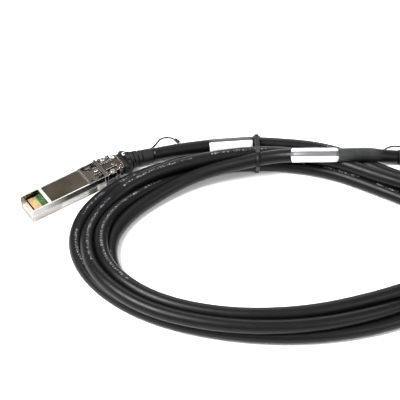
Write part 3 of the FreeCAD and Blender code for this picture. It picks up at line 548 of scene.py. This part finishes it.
# ---------------------------------------------------------------- the jacket and what lies on it
# The ink marks: stretches that carry print, in millimetres from plug a, and the sizes of the marks
PRINT_RUNS = [(95.0, 118.0), (440.0, 640.0), (952.0, 1150.0), (1420.0, 1530.0), (1550.0, 1665.0),
              (1850.0, 1925.0), (2074.0, 2108.0)]
LETTER_LENGTH, LETTER_GAP, WORD_LETTERS = 1.7 * MM, 0.26, 6.0
STROKE_LENGTH = 0.55 * MM
# Rows of strokes: where they start, in turns with the top at 0.5, how high they are and how many
ROW_START, ROW_HEIGHT, ROWS = 0.485, 0.017, 3.0
WORD_SEED = 5.0
# A paler stretch beside wrap b, a reflection painted into the jacket: where it starts and ends, and
# how softly, in millimetres
PALE_START, PALE_END, PALE_RISE, PALE_FALL = 2055.0, 2106.0, 12.0, 8.0
JACKET_SHEEN = solid(0.0032, 0.0032, 0.0035)
JACKET_REFLECTION_PAINT = solid(0.030, 0.031, 0.032)
PRINT_ON_REFLECTION_PAINT = solid(0.002, 0.002, 0.002)
VINYL_DARK = solid(0.018, 0.018, 0.019)
VINYL_LIGHT = solid(0.026, 0.026, 0.027)


def print_marks(bench, along, around, place):
    """Uneven strokes in short groups, like worn small print."""
    letter = along / LETTER_LENGTH
    stroke = along / STROKE_LENGTH
    row = ((around + 0.5).fraction() - ROW_START) / ROW_HEIGHT
    drawn = bench.chance(bench.join(stroke.floor(), row.floor())) > 0.5
    word = bench.chance(bench.join((letter / WORD_LETTERS).floor(), WORD_SEED)) > 0.25
    runs = any_of([along.between(first * MM, last * MM) for first, last in PRINT_RUNS])
    letters = letter.fraction() > LETTER_GAP
    worn = bench.noise(place, 500.0, 2.0).ramp(0.38, 0.56, 0.1, 1.0)
    return drawn * word * row.between(0.0, ROWS) * runs * letters * worn


def jacket_material(sizes):
    """Extruded jacket with its print, and a paler stretch of painted reflection on which the print
    is dark.
    """
    bench = new_finish("jacket")
    along, around = bench.along()
    place = bench.place()
    ink = print_marks(bench, along, around, place)
    rise = (along - PALE_START * MM).ramp(0.0, PALE_RISE * MM)
    fall = (PALE_END * MM - along).ramp(0.0, PALE_FALL * MM)
    # painted reflection: the jacket is paler along this stretch
    reflection_stretch = rise * fall * bench.noise(place, 300.0, 2.0).ramp(0.3, 0.6, 0.8, 1.0)
    cloud = bench.noise(place, 60.0)
    base = bench.tint(cloud, tuple(sizes.jacket_colour), JACKET_SHEEN)
    base = bench.tint(reflection_stretch, base, JACKET_REFLECTION_PAINT)
    paint = bench.tint(reflection_stretch, tuple(sizes.print_colour), PRINT_ON_REFLECTION_PAINT)
    colour = bench.tint(ink, base, paint)
    grain = bench.noise(place, 2600.0, 2.0)
    ripple = bench.noise(bench.join(along * 260.0, around * 3.0), 1.0, 2.0)
    normal = bench.bump(grain * 0.5 + ripple, 0.20, 0.12 * MM)
    rough = bench.noise(place, 210.0).ramp(0.3, 0.7, 0.30, 0.42) + ink * 0.12
    return bench.surface(base_color=colour, roughness=rough, normal=normal, specular_ior_level=0.15)


def wrap_material(name, bands):
    """A printed vinyl wrap: bands are (low turn, high turn, colour), laid over clear dark vinyl."""
    bench = new_finish(name)
    along, around = bench.along()
    place = bench.place()
    cloud = bench.noise(place, 80.0)
    colour = bench.tint(cloud, VINYL_DARK, VINYL_LIGHT)
    for low, high, paint in bands:
        colour = bench.tint(around.between(low, high), colour, paint)
    crease = bench.noise(bench.join(along * 500.0, around * 8.0), 1.0)
    normal = bench.bump(crease, 0.16, 0.12 * MM)
    rough = bench.noise(place, 300.0).ramp(0.3, 0.7, 0.30, 0.42)
    return bench.surface(base_color=colour, roughness=rough, normal=normal)


def moulded(name, colour, grain_scale, rough, bump=0.25, depth=0.08 * MM, edge=0.0):
    """Moulded plastic: rough is the range of its roughness, and edge softens its corners."""
    bench = new_finish(name)
    place = bench.place()
    cloud = bench.noise(place, 140.0, 4.0)
    base = bench.tint(cloud, tuple(colour), scaled(colour, 1.7))
    grain = bench.noise(place, grain_scale)
    rounding = bench.soft_edges(edge) if edge else None
    normal = bench.bump(grain, bump, depth, rounding)
    return bench.surface(base_color=base, roughness=cloud.ramp(0.3, 0.7, *rough), normal=normal,
                         specular_ior_level=0.2)


# ---------------------------------------------------------------- the plugs' metal and boards
# Where the finish of a shell changes, in millimetres back from the nose, aside and up
RECESS_END = 35.5                         # the label recess ends here
RIM_LEVELS = (8.30, 8.42)                 # the rims round the recess start and end this high
BOSS_STRETCH = (35.0, 43.0)               # the level faces are paler here
JOINT_LEVELS = (3.6, 4.4)                 # the two shells meet here
LEDGE_LEVELS = (1.5, 3.1, 4.3)            # painted highlight lines, as ledges would catch, along the side walls
LEDGE_HEIGHT, LEDGE_START = 0.22, 9.0
MOUTH_STRETCH, MOUTH_HALF, MOUTH_FLOOR = (3.4, 11.0), 6.3, 3.0
LIP_LENGTH, LIP_HALF, LIP_HEIGHT = 3.8, 5.9, 3.4
RIM_LENGTH, RIM_HEIGHT = 0.5, 3.6
# The same for the board's plated front edge, and the part of it that is worn by the socket
PLATED_LENGTH, PLATED_WORN, PLATED_FLOOR = 6.4, 2.6, 3.0
PALER_FIELD_METAL = solid(0.13, 0.115, 0.10)
# painted reflection on the side walls: light at the nose, dark at the cable
WALL_REFLECTION_LIGHT = solid(0.30, 0.29, 0.28)
WALL_REFLECTION_DARK = solid(0.011, 0.010, 0.009)
WALL_STREAK = solid(0.05, 0.047, 0.044)
LEDGE_HIGHLIGHT = solid(0.34, 0.33, 0.31)
MOUTH_SHADE = solid(0.050, 0.040, 0.033)
LIP_METAL = solid(0.50, 0.45, 0.39)
RIM_METAL = solid(0.22, 0.21, 0.20)
SPECK_METAL = solid(0.28, 0.26, 0.24)
STEEL_DARK = solid(0.07, 0.064, 0.058)
STEEL_LIGHT = solid(0.26, 0.245, 0.23)
TRACK_GREEN = solid(0.055, 0.13, 0.042)
LEGEND_PAINT = solid(0.42, 0.46, 0.38)
GOLD_WORN = solid(0.52, 0.40, 0.26)
GOLD_LIGHT = solid(0.70, 0.50, 0.26)
PACKAGE_BLACK = solid(0.02, 0.02, 0.02)
INSULATION_GREY = solid(0.45, 0.46, 0.47)


def shell_tops(bench, finish, lengthwise, height, cloud):
    """Level faces: a painted dark reflection, paler over one stretch, bright on the rims round the
    recess.
    """
    sunk_reflection = tuple(finish.sunk_reflection)
    # painted dark reflection over the level faces
    field = bench.tint(cloud.ramp(0.35, 0.7), sunk_reflection, scaled(sunk_reflection, 1.35))
    paler_stretch = lengthwise.between(*BOSS_STRETCH) * 0.4
    field = bench.tint(paler_stretch, field, PALER_FIELD_METAL)
    raised = height.ramp(*RIM_LEVELS) * (lengthwise < RECESS_END)
    return bench.tint(raised, field, tuple(finish.nickel))


def shell_walls(bench, lengthwise, across, height):
    """Walls carry a painted reflection that goes from light at the nose to dark at the cable,
    sooner above the shells' joint.
    """
    upper = height.ramp(*JOINT_LEVELS) * lengthwise.ramp(7.0, 22.0)
    # painted reflection: light at the nose, where the walls mirror the floor, dark towards the
    # cable, where they mirror the coil
    reflection_fade = lengthwise.ramp(20.0, 38.0).either(upper)
    wall = bench.tint(reflection_fade, WALL_REFLECTION_LIGHT, WALL_REFLECTION_DARK)
    streaks = bench.noise(bench.join(lengthwise * 0.05, 0.0, height * 0.6), 1.0, 2.0)
    dulled = 1 - streaks.ramp(0.35, 0.65, 0.82, 1.0)
    wall = bench.tint(dulled, wall, WALL_STREAK)
    # painted highlight lines along the side walls
    ledge_highlights = any_of([height.between(low, low + LEDGE_HEIGHT) for low in LEDGE_LEVELS])
    ledge_highlights = ledge_highlights * (lengthwise > LEDGE_START)
    wall = bench.tint(ledge_highlights * 0.6, wall, LEDGE_HIGHLIGHT)
    mouth = across.between(-MOUTH_HALF, MOUTH_HALF) * lengthwise.between(*MOUTH_STRETCH)
    return bench.tint(mouth * (height > MOUTH_FLOOR), wall, MOUTH_SHADE)


def nickel_material(finish):
    """Die-cast plate: a painted dark reflection in the sunk fields, bright on the raised rims, and
    painted highlights along the edges.
    """
    bench = new_finish("nickel_plate")
    place = bench.place()
    lengthwise, across, height = bench.in_plug()
    cloud = bench.noise(place, 95.0, 4.0)
    wall = shell_walls(bench, lengthwise, across, height)
    top = shell_tops(bench, finish, lengthwise, height, cloud)
    base = bench.tint(bench.upward().ramp(0.5, 0.8), wall, top)
    lip = (lengthwise < LIP_LENGTH) * (height < LIP_HEIGHT) * across.between(-LIP_HALF, LIP_HALF)
    base = bench.tint(lip, base, LIP_METAL)
    rim = (lengthwise < RIM_LENGTH) * (height < RIM_HEIGHT)
    base = bench.tint(rim, base, RIM_METAL)
    rounded = bench.soft_edges(finish.edge_radius)
    # painted highlights along the rounded edges
    base = bench.tint(bench.edge_highlight(rounded) * 0.9, base, tuple(finish.nickel))
    speck = bench.noise(place, 2200.0, 2.0).ramp(0.64, 0.76)
    base = bench.tint(speck * 0.20, base, SPECK_METAL)
    cast = bench.noise(place, 1300.0, 2.0)
    wave = bench.noise(place, 260.0, 2.0)
    normal = bench.bump(cast * 0.2 + wave, 0.06, 0.08 * MM, rounded)
    rough = cloud.ramp(0.3, 0.75, 0.16, 0.26) + speck * 0.10
    return bench.surface(base_color=base, metallic=1 - lip * 0.55, roughness=rough, normal=normal)


def bright_material(finish):
    """Bright plated small metal."""
    bench = new_finish("bright_plate")
    place = bench.place()
    colour = tuple(finish.small_metal)
    cloud = bench.noise(place, 160.0, 4.0)
    base = bench.tint(cloud.ramp(0.35, 0.7), colour, scaled(colour, 0.86))
    polish = bench.noise(place, 900.0, 2.0)
    normal = bench.bump(polish, 0.06, 0.06 * MM, bench.soft_edges(0.12 * MM))
    return bench.surface(base_color=base, metallic=1.0, roughness=cloud.ramp(0.3, 0.75, 0.20, 0.32),
                         normal=normal)


def stamped_material(finish):
    """Sheet steel: a painted dark reflection on its level faces, and painted highlights on its
    edges and folded bars.
    """
    bench = new_finish("stamped_steel")
    streak = bench.noise(bench.place(), 420.0)
    rounded = bench.soft_edges(0.22 * MM)
    sunk_reflection = tuple(finish.sunk_reflection)
    wall = bench.tint(streak, STEEL_DARK, STEEL_LIGHT)
    # painted dark reflection on the level faces
    top = bench.tint(streak, scaled(sunk_reflection, 0.5), sunk_reflection)
    base = bench.tint(bench.upward().ramp(0.5, 0.8), wall, top)
    # painted highlights along the rounded edges
    base = bench.tint(bench.edge_highlight(rounded), base, tuple(finish.nickel))
    normal = bench.bump(streak, 0.08, 0.06 * MM, rounded)
    return bench.surface(base_color=base, metallic=1.0, roughness=streak.ramp(0.3, 0.7, 0.17, 0.30),
                         normal=normal)


def board_material(finish):
    """Solder mask over faint tracks, with a little legend print and a plated front edge."""
    bench = new_finish("solder_mask")
    place = bench.place()
    flow = bench.node("ShaderNodeTexWave", {"wave_type": "BANDS", "bands_direction": "Y"},
                      {"Vector": place, "Scale": 190.0, "Distortion": 1.5, "Detail": 1.0})
    tracks = flow.ramp(0.55, 0.75) * 0.6
    base = bench.tint(tracks, tuple(finish.mask), TRACK_GREEN)
    dots = bench.node("ShaderNodeTexVoronoi", {"feature": "F1"}, {"Vector": place, "Scale": 820.0})
    legend = (dots < 0.13) * (bench.noise(place, 240.0) > 0.52)
    base = bench.tint(legend, base, LEGEND_PAINT)
    lengthwise, _, height = bench.in_plug()
    plated = (lengthwise < PLATED_LENGTH) * (height > PLATED_FLOOR)
    base = bench.tint(plated, base, tuple(finish.gold))
    base = bench.tint((lengthwise < PLATED_WORN) * plated, base, GOLD_WORN)
    rough = bench.noise(place, 300.0).ramp(0.3, 0.7, 0.30, 0.42)
    return bench.surface(base_color=base, roughness=rough, metallic=plated * 0.4,
                         normal=bench.bump(tracks, 0.3, 0.04 * MM))


def gold_material(finish):
    """Thin gold on the contacts, a little worn."""
    bench = new_finish("gold_flash")
    wear = bench.noise(bench.place(), 900.0, 4.0)
    base = bench.tint(wear.ramp(0.3, 0.8), tuple(finish.gold), GOLD_LIGHT)
    return bench.surface(base_color=base, metallic=0.65, roughness=wear.ramp(0.2, 0.8, 0.30, 0.45),
                         normal=bench.bump(wear, 0.1, 0.03 * MM))


# ---------------------------------------------------------------- operators
class CABLE_OT_stage(bpy.types.Operator):
    """Set up the camera, the table and the soft studio light"""

    bl_idname = "cable.stage"
    bl_label = "Stage"

    # half the table's width, how far it lies under the part, and the point that the lamps look at
    reach = 3.0
    gap = 0.05 * MM
    aim = Vector((-0.04, 0.0, 0.0))
    # the lighter cloud in the table's paint, and the air at the horizon and overhead
    floor_light = solid(0.88, 0.88, 0.88)
    horizon, overhead = solid(0.62, 0.63, 0.65), solid(1.0, 1.0, 1.0)

    def execute(self, context):
        studio = context.scene.cable_studio
        target = Vector(studio.target)
        away = Vector((0.0, -math.cos(studio.elevation), math.sin(studio.elevation)))
        data = bpy.data.cameras.new("view")
        data.sensor_width = 36.0
        data.lens = studio.lens
        data.clip_start, data.clip_end = 0.05, 20.0
        camera = bpy.data.objects.new("view", data)
        camera.location = target + studio.distance * away
        camera.rotation_mode = "QUATERNION"
        camera.rotation_quaternion = (-away).to_track_quat("-Z", "Y")
        context.scene.collection.objects.link(camera)
        context.scene.camera = camera
        self.table(context, studio)
        self.lights(context)
        return {"FINISHED"}

    def table(self, context, studio):
        """A table top just under the part, wider than the view."""
        mesh = bpy.data.meshes.new("table_top")
        corners = [(side * self.reach, end * self.reach, -self.gap)
                   for side, end in ((-1, -1), (1, -1), (1, 1), (-1, 1))]
        mesh.from_pydata(corners, [], [(0, 1, 2, 3)])
        bench = new_finish("table_paint")
        cloud = bench.noise(bench.place(), 3.0)
        base = bench.tint(cloud, tuple(studio.floor_colour), self.floor_light)
        paint = bench.surface(base_color=base, roughness=0.75, specular_ior_level=0.2)
        mesh.materials.append(paint)
        table = bpy.data.objects.new("table_top", mesh)
        context.scene.collection.objects.link(table)

    def air(self):
        """Soft white air, a little darker towards the horizon behind the object."""
        bench = Bench(bpy.data.worlds.new("studio_air"), "ShaderNodeOutputWorld")
        height = bench.split(bench.node("ShaderNodeTexCoord", out="Generated"))[2]
        rise = bench.node("ShaderNodeMapRange", {"interpolation_type": "SMOOTHSTEP"},
                          {"Value": height, "From Min": 0.05, "From Max": 0.65})
        shade = bench.tint(rise, self.horizon, self.overhead)
        glow = bench.node("ShaderNodeBackground", {}, {"Color": shade, "Strength": 0.95})
        return bench.finish(glow)

    def lights(self, context):
        """Three soft lamps that look at the part: name, place and size in metres, and power."""
        context.scene.world = self.air()
        context.scene.view_settings.view_transform = "Standard"
        for name, place, size, power in (
            ("key", (-0.75, -0.35, 1.15), 0.6, 48.0),
            ("fill", (0.9, -0.9, 0.9), 0.9, 9.0),
            ("back", (0.1, 1.05, 0.75), 0.5, 4.0),
        ):
            data = bpy.data.lights.new(name, "AREA")
            data.size = size
            data.energy = power
            lamp = bpy.data.objects.new(name, data)
            lamp.location = place
            lamp.rotation_mode = "QUATERNION"
            lamp.rotation_quaternion = (self.aim - Vector(place)).to_track_quat("-Z", "Y")
            context.scene.collection.objects.link(lamp)


class CABLE_OT_jacket(bpy.types.Operator):
    """Lay the whole cable from plug to plug through its tied coil"""

    bl_idname = "cable.jacket"
    bl_label = "Cable jacket"

    sides = 28

    def execute(self, context):
        sizes = context.scene.cable_sizes
        places, distances = cable_line()

        def make(shape):
            tube(shape, places, distances, sizes.jacket / 2, self.sides)

        jacket = new_piece("cable_jacket", make, jacket_material(sizes))
        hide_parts("cable_coil", "cable_tail_a", "cable_tail_b")
        return {"FINISHED"}


class CABLE_OT_wraps(bpy.types.Operator):
    """Put the two printed wraps on the cable's ends"""

    bl_idname = "cable.wraps"
    bl_label = "Printed wraps"

    # how far from its plug a wrap may lie, the number of its sides, and the turn of its seam
    near = 100.0 * MM
    sides = 48
    seam = -0.5

    def execute(self, context):
        sizes = context.scene.cable_sizes
        places, distances = cable_line()
        white, grey = tuple(sizes.wrap_white), tuple(sizes.wrap_grey)
        first, last = distances[0], distances[-1]
        # side, its stretch of the cable, its ends across in millimetres, its bands of colour
        wraps = (
            ("a", (first, first + self.near), (-37.2, -10.9), [(0.045, 0.34, white)]),
            ("b", (last - self.near, last), (8.0, 32.5),
             [(-0.2, 0.62, white), (0.025, 0.15, grey)]),
        )
        for side, (start, end), (low, high), bands in wraps:
            chosen = [(place, distance) for place, distance in zip(places, distances)
                      if start <= distance <= end and low * MM <= place.x <= high * MM]
            along = [place for place, _ in chosen]
            steps = [distance - chosen[0][1] for _, distance in chosen]
            reach = sizes.jacket / 2 + sizes.wrap_thickness

            def make(shape):
                tube(shape, along, steps, reach, self.sides, self.seam)

            material = wrap_material(f"label_wrap_{side}_vinyl", bands)
            wrap = new_piece(f"printed_wrap_{side}", make, material)
            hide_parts(f"label_wrap_{side}")
        return {"FINISHED"}


class CABLE_OT_tie(bpy.types.Operator):
    """Draw the ribbed tie tight round the five strands at the back"""

    bl_idname = "cable.tie"
    bl_label = "Cable tie"

    across = -10.2 * MM
    # steps round the bundle, the ribs' depth, how much the strap's outside narrows on each side,
    # and how far it keeps from the strands and the table
    steps = 144
    rib = 0.12 * MM
    taper = 0.25 * MM
    clearance = 0.02 * MM
    # the lock head and the cut-off end: place back and up, size across, back and up, in millimetres
    lock_parts = (((33.5, 3.4), (4.2, 2.6, 4.4)),
                  ((33.9, 6.3), (2.4, 0.9, 1.8)))
    lock_edge = 0.45 * MM

    def execute(self, context):
        sizes = context.scene.cable_sizes
        places, _ = cable_line()
        strands = tie_strands(places, self.across)
        radius, half = sizes.jacket / 2, sizes.tie_width / 2

        def edge(angle, reach):
            out = Vector((math.cos(angle), math.sin(angle)))
            best = max(strands, key=lambda strand: Vector(strand).dot(out))
            return Vector(best) + out * reach

        def make(shape):
            loops = []
            for k in range(self.steps):
                angle = 2 * math.pi * k / self.steps
                inner = edge(angle, radius + self.clearance)
                outer = edge(angle, radius + sizes.tie_thickness - self.rib * (k % 2))
                ring = []
                for spot, reach in ((inner, half), (outer, half - self.taper)):
                    for side in (-1, 1):
                        above = max(spot.y, self.clearance)
                        ring.append(shape.verts.new((self.across + side * reach, spot.x, above)))
                loops.append(ring)
            for here, there in zip(loops, loops[1:] + loops[:1]):
                for a, b in ((0, 1), (1, 3), (3, 2), (2, 0)):
                    shape.faces.new((here[a], here[b], there[b], there[a]))

        material = moulded("nylon", sizes.tie_colour, 1800.0, (0.42, 0.55))
        strap = new_piece("tie_strap", make, material)
        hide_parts("cable_tie")
        self.lock(material)
        return {"FINISHED"}

    def lock(self, material):
        """The lock head with its mouth, and the short end cut off beside it."""

        def make(shape):
            for (back, up), size in self.lock_parts:
                place = Vector((self.across, back * MM, up * MM))
                made = bmesh.ops.create_cube(shape, size=1.0)
                bmesh.ops.scale(shape, vec=Vector(size) * MM, verts=made["verts"])
                bmesh.ops.translate(shape, vec=place, verts=made["verts"])
            bmesh.ops.bevel(shape, geom=shape.edges[:], offset=self.lock_edge, segments=3,
                            affect="EDGES")

        new_piece("tie_lock", make, material)


class CABLE_OT_pull_cords(bpy.types.Operator):
    """Hang a thin pull cord with its crimped end on each boot"""

    bl_idname = "cable.pull_cords"
    bl_label = "Pull cords"

    diameter = 0.8 * MM
    # the braid's middle radius, how deep its strands are cut in, and how far one turn of it reaches
    braid_radius, braid_depth, braid_pitch = 0.43, 0.03, 1.3 * MM
    # the crimped end: how far it reaches back over the cord, its height, radii and waist
    bead_overlap, bead_height = 0.8 * MM, 1.15 * MM
    bead_radius, bead_least = 1.08 * MM, 0.25 * MM
    bead_waist, waist_place, waist_spread = 0.12 * MM, 0.45, 0.12
    bead_step, bead_rings = 0.2 * MM, 18
    cord_sides, bead_sides = 16, 24

    def execute(self, context):
        colour = context.scene.cable_sizes.cord_colour
        braid = moulded("braid", colour, 3200.0, (0.55, 0.70), 0.5, 0.10 * MM)
        crimp = moulded("crimp", colour, 900.0, (0.35, 0.50))
        for side in PULL_CORDS:
            places, distances = pull_line(side)

            def make_cord(shape):
                tube(shape, places, distances, self.strands, self.cord_sides)

            cord = new_piece(f"pull_cord_{side}", make_cord, braid)
            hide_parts(f"pull_lanyard_{side}")
            self.crimped_end(side, places, crimp)
        return {"FINISHED"}

    def strands(self, distance, turn):
        """The cord's radius, with the braid's strands twisting along it."""
        twist = math.sin(2 * math.pi * (distance / self.braid_pitch + 2 * turn))
        return (self.braid_radius + self.braid_depth * twist) * MM

    def crimped_end(self, side, places, crimp):
        """The bead crimped onto the loose end, lying level."""
        ahead = headings(places)[-1]
        ahead.z = 0.0
        ahead.normalize()
        start = places[-1] - ahead * self.bead_overlap
        start.z = self.bead_height
        steps = [i * self.bead_step for i in range(self.bead_rings)]
        spots = [start + ahead * distance for distance in steps]

        def bulge(distance, turn):
            share = distance / steps[-1]
            rounding = (1 - abs(2 * share - 1) ** 6) ** 0.5
            squeeze = math.exp(-((share - self.waist_place) / self.waist_spread) ** 2)
            return max(self.bead_least, self.bead_radius * rounding - self.bead_waist * squeeze)

        def make(shape):
            tube(shape, spots, steps, bulge, self.bead_sides)

        bead = new_piece(f"crimped_end_{side}", make, crimp)
        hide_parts(f"lanyard_bead_{side}")


class CABLE_OT_shells(bpy.types.Operator):
    """Finish the plated shells, their springs and screws"""

    bl_idname = "cable.shells"
    bl_label = "Plug shells"

    def execute(self, context):
        finish = context.scene.cable_plugs
        finish_with(nickel_material(finish), *both("latch_shell", "cover_shell"))
        bright = bright_material(finish)
        finish_with(bright, *both("shell_screws", "contact_gasket", "crimp_ferrule"))
        finish_with(stamped_material(finish), *both("release_slide", "return_spring"))
        return {"FINISHED"}


class CABLE_OT_boards(bpy.types.Operator):
    """Finish the circuit boards, contacts, parts and conductors"""

    bl_idname = "cable.boards"
    bl_label = "Circuit boards"

    def execute(self, context):
        finish = context.scene.cable_plugs
        finish_with(board_material(finish), *both("circuit_board"))
        finish_with(gold_material(finish), *both("contact_pads"))
        package = moulded("package", PACKAGE_BLACK, 900.0, (0.40, 0.55))
        finish_with(package, *both("board_parts"))
        insulation = moulded("insulation", INSULATION_GREY, 400.0, (0.35, 0.50))
        finish_with(insulation, *both("twinax_pairs"))
        return {"FINISHED"}


class CABLE_OT_boots(bpy.types.Operator):
    """Finish the moulded strain reliefs"""

    bl_idname = "cable.boots"
    bl_label = "Strain reliefs"

    def execute(self, context):
        finish = context.scene.cable_plugs
        rubber = moulded("boot_moulding", finish.boot, 1500.0, (0.46, 0.62), 0.3, 0.10 * MM,
                         edge=0.2 * MM)
        finish_with(rubber, *both("strain_relief"))
        return {"FINISHED"}


class CABLE_OT_declare(bpy.types.Operator):
    """Trace the cable's line and the pull cords' lines again, and do nothing with them"""

    bl_idname = "cable.declare"
    bl_label = "Declare cords"

    def execute(self, context):
        places, distances = cable_line()
        for side in PULL_CORDS:
            line, steps = pull_line(side)
        return {"FINISHED"}


class CABLE_PT_panel(bpy.types.Panel):
    """The steps that build the cable, and the sizes and colours they use"""

    bl_label = "Direct attach cable"
    bl_idname = "CABLE_PT_panel"
    bl_space_type = "VIEW_3D"
    bl_region_type = "UI"
    bl_category = "Cable"

    def draw(self, context):
        layout = self.layout
        for step in STEPS_IN_ORDER:
            layout.operator(step.bl_idname)
        for name in GROUPS:
            group = getattr(context.scene, name)
            for prop in group.bl_rna.properties:
                if prop.identifier not in {"rna_type", "name"}:
                    layout.prop(group, prop.identifier)


STEPS_IN_ORDER = (CABLE_OT_stage, CABLE_OT_jacket, CABLE_OT_pull_cords, CABLE_OT_wraps,
                  CABLE_OT_tie, CABLE_OT_shells, CABLE_OT_boards, CABLE_OT_boots,
                  CABLE_OT_declare)
GROUPS = {"cable_sizes": CableSizes, "cable_plugs": PlugFinish, "cable_studio": StudioSettings}


def register():
    for group in GROUPS.values():
        bpy.utils.register_class(group)
    for name, group in GROUPS.items():
        setattr(bpy.types.Scene, name, bpy.props.PointerProperty(type=group))
    for step in STEPS_IN_ORDER:
        bpy.utils.register_class(step)
    bpy.utils.register_class(CABLE_PT_panel)


def unregister():
    bpy.utils.unregister_class(CABLE_PT_panel)
    for step in reversed(STEPS_IN_ORDER):
        bpy.utils.unregister_class(step)
    for name, group in GROUPS.items():
        delattr(bpy.types.Scene, name)
        bpy.utils.unregister_class(group)


def main():
    register()
    for step in STEPS_IN_ORDER:
        group, name = step.bl_idname.split(".")
        getattr(getattr(bpy.ops, group), name)()


if __name__ == "__main__":
    main()
